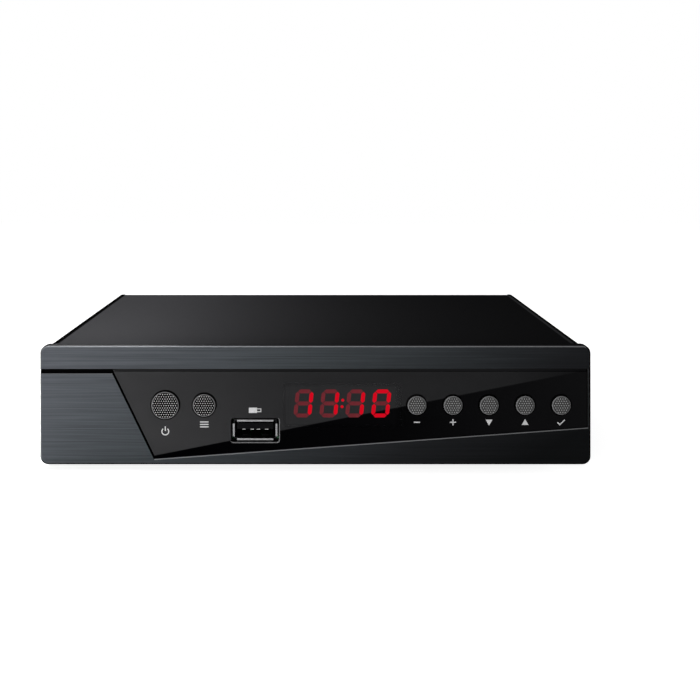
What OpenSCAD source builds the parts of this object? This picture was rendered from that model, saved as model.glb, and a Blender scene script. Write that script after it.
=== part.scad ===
// Terrestrial receiver: a folded steel case behind a moulded front panel, with its boards and sockets.
// Millimetres. +X is to the viewer's right, +Y runs from the front panel to the rear wall, +Z is up.
// The origin lies on the ground, under the middle of the overall box.

/* [Front panel] */
// Width of the front panel
panel_w = 168; // [166:1:200]
// Height of the front panel
panel_h = 36.4; // [34:0.1:46]
// Depth of the rim that shows in front of the case
rim_d = 3; // [2.4:0.1:5]
// Corner radius of the front panel
panel_corner_r = 2.5; // [1.8:0.1:4]
// Bevel along the panel's front edge
panel_bevel = 0.5; // [0.2:0.1:1]
// Thickness of the panel's front wall
panel_wall = 2; // [1.6:0.1:2.4]
// Length of the skirt that slides into the case
skirt_d = 9; // [9:0.5:14]
// Thickness of the skirt
skirt_wall = 1.6; // [1.2:0.1:2.2]
// How far the panel stands out past the case all round
panel_lip = 0.9; // [0.4:0.1:1.4]

/* [Trim and window] */
// Height of the upper trim strip
strip_h = 7.45; // [6:0.05:9]
// Height of the groove between the upper strip and the left block
side_groove_h = 1.05; // [0.6:0.05:1.6]
// Depth of that groove
side_groove_d = 0.9; // [0.5:0.1:1.4]
// Width of the window recess along its top
window_top_w = 145.5; // [144:0.1:150]
// Width of the window recess from its lower left corner
window_foot_w = 132.3; // [128:0.1:136]
// Height of the lower trim where it leaves the left block
trim_start_h = 1.8; // [1.2:0.1:3]
// Height of the lower trim at the right edge
trim_end_h = 11.4; // [8:0.1:12]
// Width of the rim to the right of the window
right_rim_w = 0.9; // [0.7:0.1:1.6]
// Bevel along the trim's edges
trim_bevel = 0.3; // [0.1:0.05:0.5]
// Thickness of the window
window_t = 1.5; // [1:0.1:2]
// How far the window lies behind the trim's face
window_sink = 0.5; // [0.3:0.1:0.9]
// Dark channel along the window's top edge
top_channel_w = 0.6; // [0.3:0.05:1]
// Dark channel along the window's slanted edge
slant_channel_w = 0.5; // [0.3:0.05:1]
// Clearance at the window's other edges
window_gap = 0.1; // [0.05:0.05:0.3]
// Thickness of the wall behind the window
floor_t = 1.6; // [1.2:0.1:2.2]

/* [Keys] */
// From the panel's lower edge to the row of keys and the display
key_row_h = 18.1; // [17:0.1:19]
// Diameter of the standby key
power_key_d = 8.6; // [7:0.1:9]
// From the standby key to the menu key
power_key_step = 11.9; // [11.6:0.1:12.4]
// Diameter of the menu key
menu_key_d = 7.1; // [6:0.1:7.4]
// From the menu key to the middle of the USB socket
menu_key_step = 15.5; // [15:0.1:16]
// Diameter of the five small keys
small_key_d = 6; // [5:0.1:6.4]
// Distance between neighbouring small keys
small_key_pitch = 11; // [10.6:0.1:11.2]
// From the panel's right edge to the last small key
last_key_inset = 9; // [8.8:0.1:9.6]
// How far a key stands out of the window
key_proud = 0.8; // [0.7:0.05:1.2]
// Travel of a key
key_travel = 0.5; // [0.3:0.05:0.6]
// Ring gap between a key and the window
key_ring_gap = 0.3; // [0.2:0.05:0.4]
// Guide clearance between a key and the wall behind the window
key_guide_gap = 0.15; // [0.1:0.05:0.25]
// Bevel on a key's front edge
key_bevel = 0.35; // [0.2:0.05:0.6]
// Width of a key's retaining flange
key_flange_w = 0.8; // [0.6:0.05:1]
// Thickness of that flange
key_flange_t = 0.8; // [0.6:0.05:1.2]
// Slack between the flange and the wall at rest
key_slack = 0.2; // [0.1:0.05:0.3]
// Diameter of a key's stem
key_stem_d = 3; // [2.4:0.1:3.6]
// Length of a key's stem
key_stem_l = 0.4; // [0.3:0.1:1]
// Thickness of the guide collar round a flange
collar_wall = 0.9; // [0.6:0.05:1]
// Clearance between a flange and its collar
collar_gap = 0.25; // [0.15:0.05:0.35]

/* [Key switches] */
// Side of a switch housing
switch_w = 6; // [5:0.1:6.4]
// Height of a switch housing
switch_h = 3.5; // [3:0.1:4.5]
// Diameter of a switch plunger
plunger_d = 3.4; // [2.6:0.1:4]
// How far a plunger stands out of its housing
plunger_out = 1; // [0.8:0.05:1.4]
// How far a plunger reaches into its housing at rest
plunger_seat = 0.4; // [0.2:0.05:0.8]
// Clearance round a plunger and behind it at full travel
plunger_gap = 0.15; // [0.1:0.05:0.3]

/* [Display] */
// From the middle of the display to the first small key
display_step = 22.7; // [22:0.1:23.4]
// Height of a digit
digit_h = 8.6; // [7:0.1:9.4]
// Width of a digit
digit_w = 5.5; // [4.6:0.1:6]
// Distance between neighbouring digits
digit_pitch = 7.95; // [7.2:0.05:8.2]
// Width of a segment
segment_w = 1.2; // [0.7:0.05:1.3]
// Gap between neighbouring segments
segment_gap = 0.12; // [0.08:0.01:0.2]
// Depth of a segment in the display block
segment_d = 0.8; // [0.5:0.1:1.5]
// Slant of the digits in degrees
digit_slant = 6; // [0:1:10]
// Border of the display block above and below the digits
display_border_z = 2.6; // [2:0.1:3]
// Border of the display block beside the digits
display_border_x = 1.3; // [1:0.1:1.6]
// Gap between the window and the display block
display_gap = 0.3; // [0.2:0.05:0.6]

/* [USB socket] */
// From the middle of the socket to the middle of the display
usb_step = 26.7; // [26:0.1:27.4]
// From the panel's lower edge to the middle of the socket
usb_h = 10.4; // [10:0.1:11.5]
// Width inside the shell
usb_open_w = 12.5; // [12.3:0.1:12.7]
// Height inside the shell
usb_open_h = 5.12; // [5:0.02:5.3]
// Thickness of the shell
usb_shell_t = 0.35; // [0.3:0.05:0.5]
// Length of the shell
usb_shell_l = 14; // [12:0.5:18]
// Reach of the flared lips past the shell
usb_lip = 0.2; // [0.1:0.05:0.6]
// Distance of the shell's mouth behind the window's face
usb_sink = 0.3; // [0.1:0.05:0.6]
// Gap between the flared lips and the window
usb_gap = 0.5; // [0.15:0.05:0.6]
// Corner radius of the opening round the socket
usb_opening_r = 0.8; // [0.4:0.1:1.2]
// Thickness of the tongue
usb_tongue_t = 1.84; // [1.7:0.02:2]
// Width of the tongue
usb_tongue_w = 11.1; // [10.8:0.1:11.4]
// Gap between the tongue and the shell above it
usb_tongue_gap = 0.66; // [0.5:0.02:0.8]

/* [Case] */
// Depth from the panel's face to the rear edge of the cover
case_d = 105; // [100:1:150]
// Thickness of the steel sheet
sheet_t = 0.8; // [0.6:0.1:1.2]
// Clearance between neighbouring sheets
sheet_gap = 0.15; // [0.1:0.05:0.3]
// Outer radius of a sheet bend
bend_r = 1.5; // [1.3:0.1:2.5]
// Height of the tray's side flanges
flange_h = 10; // [9:0.5:14]
// Height of the cover's rear lip
rear_lip_h = 7; // [6.4:0.1:8]
// Length of the notches at the ends of a bend
relief_w = 2.5; // [2:0.1:4]
// Length of a side vent slot
side_vent_l = 14; // [10:0.5:16]
// Width of a vent slot
vent_w = 2; // [1.6:0.1:2.6]
// Distance between neighbouring vent slots
vent_pitch = 5; // [4.4:0.1:5.4]
// Number of vent slots in each side
side_vents = 12; // [4:1:13]
// Number of vent slots in each of the floor's two rows
floor_vents = 9; // [4:1:10]
// Length of a floor vent slot
floor_vent_l = 16; // [10:0.5:18]
// Distance from the middle of the floor to each row of slots
floor_vent_x = 34; // [30:1:38]

/* [Feet and screws] */
// Height of a foot under the case
foot_h = 2.4; // [1.8:0.1:5]
// Diameter of a foot
foot_d = 11; // [8:0.5:13]
// Distance of a foot from the sides of the case
foot_inset = 10.5; // [9:0.5:11]
// Diameter of a cover or board screw
screw_d = 2.9; // [2.4:0.1:3.2]
// Diameter of its head
screw_head_d = 5.5; // [4.6:0.1:6]
// Height of its head
screw_head_h = 1.8; // [1.4:0.1:2.2]
// Length of its shank
screw_l = 5; // [4:0.5:5.5]
// Clearance round a shank
screw_gap = 0.1; // [0.05:0.05:0.2]
// Diameter of a front board screw
small_screw_d = 2.4; // [2:0.1:2.6]
// Diameter of its head
small_screw_head_d = 4.6; // [4:0.1:5]
// Diameter of the posts that carry the front board
post_d = 5; // [4.4:0.1:5.4]

/* [Boards] */
// Thickness of both boards
board_t = 1.6; // [1.2:0.1:2]
// Distance of the main board from the tray's sides
board_side_gap = 10; // [8:0.5:11]
// Distance of the main board from the wall behind the window
board_front_gap = 1.4; // [1:0.1:2]
// Distance of the main board from the rear wall
board_rear_gap = 0.6; // [0.4:0.1:1]
// Distance of a standoff from the main board's sides
standoff_inset = 6; // [5.5:0.1:6.5]
// Diameter of a standoff at its top
standoff_d = 7; // [6.6:0.1:8]
// How far the front board reaches below the row of keys
front_board_drop = 8.6; // [8:0.1:9]
// How far the front board reaches to the left of the standby key
front_board_reach = 12; // [11:0.1:13]
// Distance of the front board from the panel's inner walls
front_board_gap = 0.8; // [0.5:0.1:1.2]
// Width of the ribbon cable
ribbon_w = 12.7; // [10:0.1:14]
// Thickness of the ribbon cable
ribbon_t = 0.9; // [0.6:0.1:1.2]
// Radius of the ribbon's bend at its middle
ribbon_r = 6; // [4:0.5:7]
// From the front board's left end to the middle of the ribbon cable
ribbon_inset = 22; // [19:1:26]
// Height of a ribbon header
header_h = 6; // [5:0.1:7]
// Depth of a ribbon header
header_d = 5; // [4:0.1:6]
// Place of the main chip across the case
chip_x = -4; // [-8:1:0]
// From the rear wall to the main chip
chip_back = 49; // [46:1:52]
// Side of the main chip
chip_w = 17; // [14:0.5:20]
// Thickness of a chip
chip_t = 1.5; // [1:0.1:2]
// Side of the heat sink
sink_w = 24; // [20:1:28]
// Height of the heat sink
sink_h = 9; // [6:0.5:12]
// Number of fins on the heat sink
sink_fins = 7; // [4:1:8]
// Diameter of a capacitor
capacitor_d = 6.3; // [5:0.1:8]
// Height of a capacitor
capacitor_h = 9; // [6:0.5:11]

/* [Rear sockets] */
// Distance between the aerial input and the aerial loop output
aerial_pitch = 18; // [16:0.5:20]
// Height of the aerial sockets above the main board
aerial_h = 6.6; // [6.4:0.1:7.4]
// How far the aerial sockets stand out of the case
aerial_reach = 9; // [7:0.5:12]
// Inside diameter of the aerial input's sleeve
aerial_in_bore_d = 9.6; // [9.5:0.1:9.8]
// Bore of the aerial input's centre contact
aerial_contact_bore_d = 2.4; // [2.2:0.1:2.6]
// Outside diameter of the aerial output's sleeve
aerial_out_d = 9.5; // [9.4:0.1:9.6]
// Diameter of the aerial output's pin
aerial_pin_d = 2.3; // [2.2:0.1:2.6]
// From the main board's right edge to the tuner can
tuner_inset = 10.35; // [10:0.05:11]
// Width of the tuner can
tuner_w = 36; // [34:1:38]
// Depth of the tuner can
tuner_d = 38; // [30:1:40]
// Height of the tuner can
tuner_h = 13.2; // [13:0.1:16]
// Thickness of the tuner can's sheet
tuner_t = 0.5; // [0.4:0.1:0.8]
// Width inside the HDMI socket
hdmi_w = 14; // [13.9:0.1:14.2]
// Height inside the HDMI socket
hdmi_h = 4.55; // [4.5:0.05:4.7]
// Length of the HDMI socket
hdmi_l = 12; // [10:0.5:14]
// From the DC inlet to the nearest audio and video jack
av_step = 17; // [16:0.5:18]
// Distance between neighbouring jacks
av_pitch = 13; // [12.4:0.1:13.4]
// Height of the jacks above the main board
av_h = 7; // [6.6:0.1:8]
// How far the jacks stand out of the case
av_reach = 8.5; // [7:0.5:9]
// Outside diameter of a jack's sleeve
av_sleeve_d = 8.3; // [8.2:0.1:8.4]
// Bore of a jack's insert
av_bore_d = 3.3; // [3.2:0.1:3.4]
// From the main board's left edge to the DC inlet
dc_inset = 14.35; // [13:0.05:15]
// Height of the DC inlet above the main board
dc_h = 6.5; // [6:0.1:7.5]
// Bore of the DC inlet
dc_bore_d = 6.2; // [5.8:0.1:6.4]
// Diameter of the DC inlet's pin
dc_pin_d = 2; // [1.9:0.1:2.5]

/* [Hidden] */

$fn = 64;
// Overlap that lets a cut pass clean through a face
cut = 1;
// Clearance between pieces that fit into each other on one board
fit_gap = 0.05;
// Distance of the tray's side flanges behind the panel's skirt
flange_front_gap = 1;

// Heights
panel_z0 = foot_h - panel_lip;
panel_z1 = panel_z0 + panel_h;
case_z0 = foot_h;
case_z1 = panel_z1 - panel_lip;
case_h = case_z1 - case_z0;
floor_z = case_z0 + sheet_t;
roof_z = case_z1 - sheet_t;
skirt_z0 = floor_z + sheet_gap;
skirt_z1 = roof_z - sheet_gap;
hollow_z0 = skirt_z0 + skirt_wall;
hollow_z1 = skirt_z1 - skirt_wall;
key_z = panel_z0 + key_row_h;
usb_z = panel_z0 + usb_h;
usb_out_w = usb_open_w + 2 * usb_shell_t;
usb_out_h = usb_open_h + 2 * usb_shell_t;
board_z1 = usb_z - usb_out_h / 2;
board_z0 = board_z1 - board_t;

// Widths
left_x = -panel_w / 2;
right_x = panel_w / 2;
case_w = panel_w - 2 * panel_lip;
inner_w = case_w - 2 * sheet_t;
tray_w = inner_w - 2 * sheet_gap;
hollow_w = tray_w - 2 * skirt_wall;
board_w = tray_w - 2 * sheet_t - 2 * board_side_gap;
first_key_x = right_x - last_key_inset - 4 * small_key_pitch;
display_x = first_key_x - display_step;
usb_x = display_x - usb_step;
menu_key_x = usb_x - menu_key_step;
power_key_x = menu_key_x - power_key_step;

// Depths, from the panel's face
window_y0 = window_sink;
window_y1 = window_y0 + window_t;
wall_y1 = window_y1 + floor_t;
key_y0 = window_y0 - key_proud;
flange_y0 = wall_y1 + key_slack;
flange_y1 = flange_y0 + key_flange_t;
plunger_y0 = flange_y1 + key_stem_l;
switch_y0 = plunger_y0 + plunger_out;
plunger_y1 = switch_y0 + plunger_seat;
front_board_y0 = switch_y0 + switch_h;
front_board_y1 = front_board_y0 + board_t;
skirt_y1 = rim_d + skirt_d;
case_y0 = rim_d + sheet_gap;
lip_y0 = case_d - sheet_t;
rear_wall_y1 = lip_y0 - sheet_gap;
rear_wall_y0 = rear_wall_y1 - sheet_t;
// The rear wall ends below the round inside the cover's bend
rear_wall_z1 = roof_z - (bend_r - sheet_t) - sheet_gap;
usb_y0 = window_y0 + usb_sink;
usb_y1 = usb_y0 + usb_shell_l;
board_y0 = wall_y1 + board_front_gap;
board_y1 = rear_wall_y0 - board_rear_gap;
tray_flange_y0 = skirt_y1 + flange_front_gap;

// The origin is under the middle of the overall depth, keys and sockets included
front_y = -(min(key_y0, 0) + case_d + max(aerial_reach, av_reach)) / 2;

// Keys from left to right: place and diameter
small_keys = [for (i = [0:4]) [first_key_x + i * small_key_pitch, small_key_d]];
KEYS = concat([[power_key_x, power_key_d], [menu_key_x, menu_key_d]], small_keys);

// Front board outline and its four posts
front_board_x0 = power_key_x - front_board_reach;
front_board_x1 = hollow_w / 2 - front_board_gap;
front_board_z0 = key_z - front_board_drop;
front_board_z1 = hollow_z1 - front_board_gap;
post_margin = 0.7;
post_edge = post_d / 2 + post_margin;
display_w = 3 * digit_pitch + digit_w + 2 * display_border_x;
display_h = digit_h + 2 * display_border_z;
POSTS = [
    [front_board_x0 + post_edge, front_board_z1 - post_edge],
    [front_board_x0 + post_edge, front_board_z0 + post_edge],
    [display_x + display_w / 2 + post_d, front_board_z1 - post_edge],
    [front_board_x1 - post_edge, front_board_z1 - post_edge]];

// Infrared receiver above the USB socket
ir_w = 5.6;
ir_h = 5;
ir_d = 4.2;
ir_lens_r = 2.2;
ir_rise = 5.4;
ir_z = key_z + ir_rise;

// Snap hooks of the front panel
lug_w = 10;
lug_l = 2.5;
lug_back = 3;
lug_pitch = 50;
lug_y0 = rim_d + lug_back;
LUG_X = [for (i = [-1:1]) i * lug_pitch];
hook_arm_t = 1.5;
hook_arm_l = 10;
hook_h = 5;
hook_barb = 0.7;
hook_barb_l = 3.5;
hook_gap = 0.2;
hook_x = tray_w / 2 - sheet_t - hook_gap;
hook_z = floor_z + hook_h;
hook_y1 = skirt_y1 + hook_arm_l;

// Standoffs and screws
standoff_front = 10;
standoff_rear = 18;
standoff_draft = 1.2;
foot_draft = 1.2;
STANDOFFS = [for (x = [-1, 1], y = [tray_flange_y0 + standoff_front, board_y1 - standoff_rear])
    [x * (board_w / 2 - standoff_inset), y]];
cover_screw_inset = 22;
side_screw_y = case_d - cover_screw_inset;
side_screw_z = floor_z + flange_h / 2;
rear_screw_x = case_w / 2 - cover_screw_inset;
rear_screw_z = case_z1 - rear_lip_h / 2;

// Sockets on the rear edge of the main board
aerial_z = board_z1 + aerial_h;
tuner_y1 = rear_wall_y0 - board_rear_gap;
tuner_y0 = tuner_y1 - tuner_d;
tuner_x = board_w / 2 - tuner_inset - tuner_w / 2;
aerial_in_x = tuner_x + aerial_pitch / 2;
aerial_out_x = tuner_x - aerial_pitch / 2;
aerial_y1 = case_d + aerial_reach;
aerial_in_r = aerial_in_bore_d / 2;
aerial_collar_w = 1.3;
aerial_shoulder_r = aerial_in_r + aerial_collar_w;
aerial_base_t = 3;
aerial_wall = 0.7;
contact_r = aerial_contact_bore_d / 2;
contact_wall = 0.7;
hdmi_wall = 0.45;
hdmi_z = board_z1 + hdmi_wall + hdmi_h / 2;
hdmi_reach = 0.4;
hdmi_y1 = case_d + hdmi_reach;
hdmi_y0 = hdmi_y1 - hdmi_l;
dc_x = dc_inset - board_w / 2;
// The three jacks, the one next to the DC inlet last
AV_X = [for (i = [2:-1:0]) dc_x + av_step + i * av_pitch];
av_side_wall = 2;
av_half_w = av_pitch + av_sleeve_d / 2 + av_side_wall;
// The HDMI socket sits midway between the tuner can and the block of jacks
hdmi_x = (tuner_x - tuner_w / 2 + AV_X[1] + av_half_w) / 2;
av_z = board_z1 + av_h;
av_block_y1 = rear_wall_y0 - board_rear_gap;
av_block_d = 12;
av_block_rise = 6;
av_block_h = av_h + av_block_rise;
av_base_t = 1;
av_sleeve_wall = 0.6;
av_collar_w = 1;
av_collar_reach = 1;
av_y1 = case_d + av_reach;
dc_z = board_z1 + dc_h;
dc_y1 = rear_wall_y0 - board_rear_gap;
dc_body_w = 9;
dc_body_d = 14;
dc_bore_l = 10;
dc_mouth_margin = 1;
socket_gap = 0.3;
// How far a centre contact or pin ends short of its sleeve
pin_sink = 1;

// Helpers: a flat outline in X and Z pushed along Y, one in Y and Z pushed along X, and turned shapes

module along_y(y0, y1) {
    translate([0, y1, 0]) rotate([90, 0, 0]) linear_extrude(y1 - y0) children();
}

module along_x(x0, x1) {
    translate([x0, 0, 0]) rotate([90, 0, 90]) linear_extrude(x1 - x0) children();
}

module along_z(z0, z1) {
    translate([0, 0, z0]) linear_extrude(z1 - z0) children();
}

// The outline's X is the radius and its Y runs along the part's Y
module turned_y(x, z) {
    translate([x, 0, z]) rotate([-90, 0, 0]) rotate_extrude() children();
}

module rounded_rect(w, h, r) {
    square([w - 2 * r, h], center = true);
    square([w, h - 2 * r], center = true);
    for (x = [-1, 1], y = [-1, 1]) translate([x * (w / 2 - r), y * (h / 2 - r)]) circle(r);
}

module rect_between(x0, x1, y0, y1) {
    translate([x0, y0]) square([x1 - x0, y1 - y0]);
}

module ring_profile(r0, r1, y0, y1) {
    translate([r0, y0]) square([r1 - r0, y1 - y0]);
}

// Upright slot with round ends
module slot_outline(l, w) {
    square([w, l - w], center = true);
    for (s = [-1, 1]) translate([0, s * (l - w) / 2]) circle(d = w);
}

// Folded channel, open at the top, with its floor at 0
module channel_outline(w, h, r) {
    difference() {
        union() {
            rect_between(-w / 2, w / 2, r, h);
            rect_between(r - w / 2, w / 2 - r, 0, h);
            for (s = [-1, 1]) translate([s * (w / 2 - r), r]) circle(r);
        }
        rect_between(sheet_t - w / 2, w / 2 - sheet_t, r, h + cut);
        rect_between(r - w / 2, w / 2 - r, sheet_t, h);
        for (s = [-1, 1]) translate([s * (w / 2 - r), r]) circle(r - sheet_t);
    }
}

// Folded angle with its outer corner at 0: one leg runs back along -X, the other runs up
module angle_outline(leg, wall, r) {
    difference() {
        union() {
            rect_between(-leg, -r, 0, wall);
            rect_between(-r, 0, r, wall);
            translate([-r, r]) circle(r);
        }
        rect_between(-leg - cut, -r, sheet_t, wall + cut);
        rect_between(-r, -sheet_t, r, wall + cut);
        translate([-r, r]) circle(r - sheet_t);
    }
}

// Point where the line through a and b meets the line through c and d
function meet(a, b, c, d) = a + (b - a) * cross(c - a, d - c) / cross(b - a, d - c);

recess_top_z = panel_z1 - strip_h;
recess_right_x = right_x - right_rim_w;
recess_top = [recess_right_x - window_top_w, recess_top_z];
recess_foot = [recess_right_x - window_foot_w, panel_z0 + trim_start_h];
recess_end = [recess_right_x, panel_z0 + trim_end_h];

// Corners of the window recess with its four edges moved inwards
function window_corners(top, slant, low, right) = let(
    a = recess_top + [slant, 0],
    b = recess_foot + [slant, 0],
    c = recess_foot + [0, low],
    d = recess_end + [0, low],
    z = recess_top_z - top,
    x = recess_right_x - right)
    [meet(a, b, [0, z], [1, z]), [x, z], meet(c, d, [x, 0], [x, 1]), meet(a, b, c, d)];

module recess_outline() {
    polygon(window_corners(0, 0, 0, 0));
}

module hollow_outline() {
    rect_between(-hollow_w / 2, hollow_w / 2, hollow_z0, hollow_z1);
}

module usb_aperture_outline() {
    translate([usb_x, usb_z])
        rounded_rect(usb_out_w + 2 * (usb_lip + usb_gap), usb_out_h + 2 * (usb_lip + usb_gap), usb_opening_r);
}

// Rounded plate whose front edge is bevelled all round
module bevelled_plate(w, h, r, b, d) {
    along_y(b, d) rounded_rect(w, h, r);
    for (x = [-1, 1], z = [-1, 1])
        translate([x * (w / 2 - r), 0, z * (h / 2 - r)])
            rotate([-90, 0, 0]) cylinder(h = b, r1 = r - b, r2 = r);
    along_x(r - w / 2, w / 2 - r) polygon([[0, b - h / 2], [b, -h / 2], [b, h / 2], [0, h / 2 - b]]);
    along_z(r - h / 2, h / 2 - r) polygon([[b - w / 2, 0], [-w / 2, b], [w / 2, b], [w / 2 - b, 0]]);
}

// Bevel on the front face along the edge from a to b
module edge_bevel(a, b) {
    side = trim_bevel * sqrt(2);
    translate([a[0], 0, a[1]])
        rotate([0, -atan2(b[1] - a[1], b[0] - a[0]), 0])
            rotate([45, 0, 0])
                translate([0, -side / 2, -side / 2]) cube([norm(b - a), side, side]);
}

module panel_shell() {
    difference() {
        union() {
            translate([0, 0, (panel_z0 + panel_z1) / 2])
                bevelled_plate(panel_w, panel_h, panel_corner_r, panel_bevel, rim_d);
            along_y(panel_bevel, skirt_y1)
                translate([0, (skirt_z0 + skirt_z1) / 2])
                    rounded_rect(tray_w, skirt_z1 - skirt_z0, bend_r);
        }
        along_y(panel_wall, skirt_y1 + cut) hollow_outline();
    }
}

module key_collars() {
    for (k = KEYS) {
        inner = k[1] / 2 + key_flange_w + collar_gap;
        turned_y(k[0], key_z) ring_profile(inner, inner + collar_wall, wall_y1 - cut, flange_y1 + key_travel);
    }
}

module panel_posts() {
    for (p = POSTS) along_y(panel_wall - cut, front_board_y0) translate(p) circle(d = post_d);
}

module panel_hooks() {
    for (x = LUG_X)
        translate([x - lug_w / 2, lug_y0, floor_z - sheet_t + hook_gap])
            cube([lug_w, lug_l, skirt_wall + sheet_t]);
    for (s = [0, 1])
        mirror([s, 0, 0])
            along_z(hook_z - hook_h / 2, hook_z + hook_h / 2)
                polygon([
                    [hook_x - hook_arm_t, rim_d + hook_h], [hook_x, rim_d + hook_h],
                    [hook_x, hook_y1 - hook_barb_l], [hook_x + hook_barb, hook_y1 - hook_barb_l],
                    [hook_x, hook_y1], [hook_x - hook_arm_t, hook_y1]]);
}

module front_panel() {
    groove_z0 = recess_top_z - side_groove_h;
    block_corner = meet(recess_top, recess_foot, [0, groove_z0], [1, groove_z0]);
    color([0.27, 0.28, 0.3]) difference() {
        union() {
            panel_shell();
            along_y(panel_bevel, wall_y1) intersection() {
                hollow_outline();
                polygon(window_corners(-floor_t, -floor_t, -floor_t, -floor_t));
            }
            key_collars();
            panel_posts();
            panel_hooks();
        }
        along_y(-cut, window_y1) recess_outline();
        along_y(-cut, side_groove_d) rect_between(left_x - cut, block_corner[0], groove_z0, recess_top_z);
        edge_bevel([left_x, groove_z0], block_corner);
        edge_bevel(recess_foot, recess_end);
        edge_bevel([left_x, recess_top_z], [recess_right_x, recess_top_z]);
        for (k = KEYS) turned_y(k[0], key_z)
            ring_profile(0, k[1] / 2 + key_guide_gap, -cut, wall_y1 + cut / 10);
        for (k = KEYS) turned_y(k[0], key_z)
            ring_profile(0, k[1] / 2 + key_flange_w + collar_gap, wall_y1, front_board_y0);
        along_y(-cut, skirt_y1) usb_aperture_outline();
        along_y(-cut, front_board_y0) translate([display_x, key_z])
            square([display_w + 2 * socket_gap, display_h + 2 * socket_gap], center = true);
        turned_y(usb_x, ir_z) ring_profile(0, ir_lens_r + socket_gap, -cut, wall_y1 + cut);
        for (p = POSTS) along_y(wall_y1, front_board_y0 + cut)
            translate(p) circle(d = small_screw_d + 2 * fit_gap);
    }
}

module display_window() {
    color([0.03, 0.03, 0.035, 0.8]) difference() {
        along_y(window_y0, window_y1)
            polygon(window_corners(top_channel_w, slant_channel_w, window_gap, window_gap));
        for (k = KEYS) turned_y(k[0], key_z) ring_profile(0, k[1] / 2 + key_ring_gap, 0, window_y1 + cut);
        along_y(0, window_y1 + cut) usb_aperture_outline();
    }
}

module top_cover() {
    lip_half = case_w / 2 - relief_w;
    color([0.12, 0.12, 0.13]) difference() {
        union() {
            difference() {
                along_y(case_y0, case_d) translate([0, case_z1]) mirror([0, 1])
                    channel_outline(case_w, case_h, bend_r);
                translate([-lip_half, case_d - bend_r, roof_z - cut])
                    cube([2 * lip_half, bend_r + cut, sheet_t + 2 * cut]);
            }
            along_x(-lip_half, lip_half) translate([case_d, case_z1]) mirror([0, 1])
                angle_outline(2 * bend_r, rear_lip_h, bend_r);
        }
        for (i = [0:side_vents - 1])
            along_x(-case_w, case_w)
                translate([case_d / 2 + (i - (side_vents - 1) / 2) * vent_pitch, (case_z0 + case_z1) / 2])
                    slot_outline(side_vent_l, vent_w);
        cover_screw_places() cylinder(h = 2 * screw_l, d = screw_d + 2 * screw_gap, center = true);
    }
}

// A screw's seat, with its shank pointing down
module cover_screw_places() {
    for (s = [-1, 1]) {
        translate([s * case_w / 2, side_screw_y, side_screw_z]) rotate([0, s * 90, 0]) children();
        translate([s * rear_screw_x, case_d, rear_screw_z]) rotate([-90, 0, 0]) children();
    }
}

module board_screw_places() {
    for (p = STANDOFFS) translate([p[0], p[1], board_z1]) children();
}

module standoffs(r_change, z0, z1) {
    top_r = standoff_d / 2 - r_change;
    for (p = STANDOFFS) translate([p[0], p[1], z0])
        cylinder(h = z1 - z0, r1 = top_r + standoff_draft, r2 = top_r);
}

module rear_cutouts() {
    along_y(rear_wall_y0 - cut, case_d) {
        for (x = [aerial_in_x, aerial_out_x])
            translate([x, aerial_z]) circle(aerial_shoulder_r + socket_gap);
        for (x = AV_X) translate([x, av_z]) circle(av_sleeve_d / 2 + av_collar_w + 2 * socket_gap);
        translate([dc_x, dc_z]) circle(d = dc_bore_d + 2 * dc_mouth_margin);
        translate([hdmi_x, hdmi_z]) hdmi_outline(hdmi_wall + socket_gap);
    }
}

module tray_sheet() {
    wall_half = tray_w / 2 - relief_w;
    wall_z0 = case_z0 + relief_w;
    along_y(tray_flange_y0, rear_wall_y1 - bend_r)
        translate([0, case_z0]) channel_outline(tray_w, flange_h, bend_r);
    translate([bend_r - tray_w / 2, case_y0, case_z0])
        cube([tray_w - 2 * bend_r, tray_flange_y0 - case_y0, sheet_t]);
    along_x(-wall_half, wall_half) translate([rear_wall_y1, case_z0])
        angle_outline(2 * bend_r, rear_wall_z1 - case_z0, bend_r);
    along_y(rear_wall_y0, rear_wall_y1)
        translate([0, (wall_z0 + rear_wall_z1) / 2]) rounded_rect(tray_w, rear_wall_z1 - wall_z0, bend_r);
}

module bottom_chassis() {
    color([0.16, 0.16, 0.17]) difference() {
        union() {
            tray_sheet();
            standoffs(0, floor_z, board_z0);
        }
        standoffs(sheet_t, case_z0 - cut / 10, board_z0 - sheet_t);
        board_screw_places() cylinder(h = 4 * screw_l, d = screw_d + 2 * screw_gap, center = true);
        cover_screw_places() cylinder(h = 2 * screw_l, d = screw_d + 2 * screw_gap, center = true);
        for (s = [-1, 1], i = [0:floor_vents - 1])
            along_z(case_z0 - cut, floor_z + cut)
                translate([s * floor_vent_x, case_d / 2 + (i - (floor_vents - 1) / 2) * vent_pitch])
                    rotate(90) slot_outline(floor_vent_l, vent_w);
        for (x = LUG_X)
            translate([x - lug_w / 2 - hook_gap, lug_y0 - hook_gap, case_z0 - cut])
                cube([lug_w + 2 * hook_gap, lug_l + 2 * hook_gap, sheet_t + 2 * cut]);
        along_x(-case_w, case_w)
            rect_between(hook_y1 - hook_barb_l - hook_gap, hook_y1 + hook_gap,
                hook_z - hook_h / 2 - hook_gap, hook_z + hook_h / 2 + hook_gap);
        rear_cutouts();
    }
}

module feet() {
    color([0.08, 0.08, 0.08])
        for (x = [-1, 1], y = [foot_inset + rim_d, case_d - foot_inset])
            translate([x * (case_w / 2 - foot_inset), y, 0])
                cylinder(h = foot_h, d1 = foot_d - foot_draft, d2 = foot_d);
}

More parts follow.
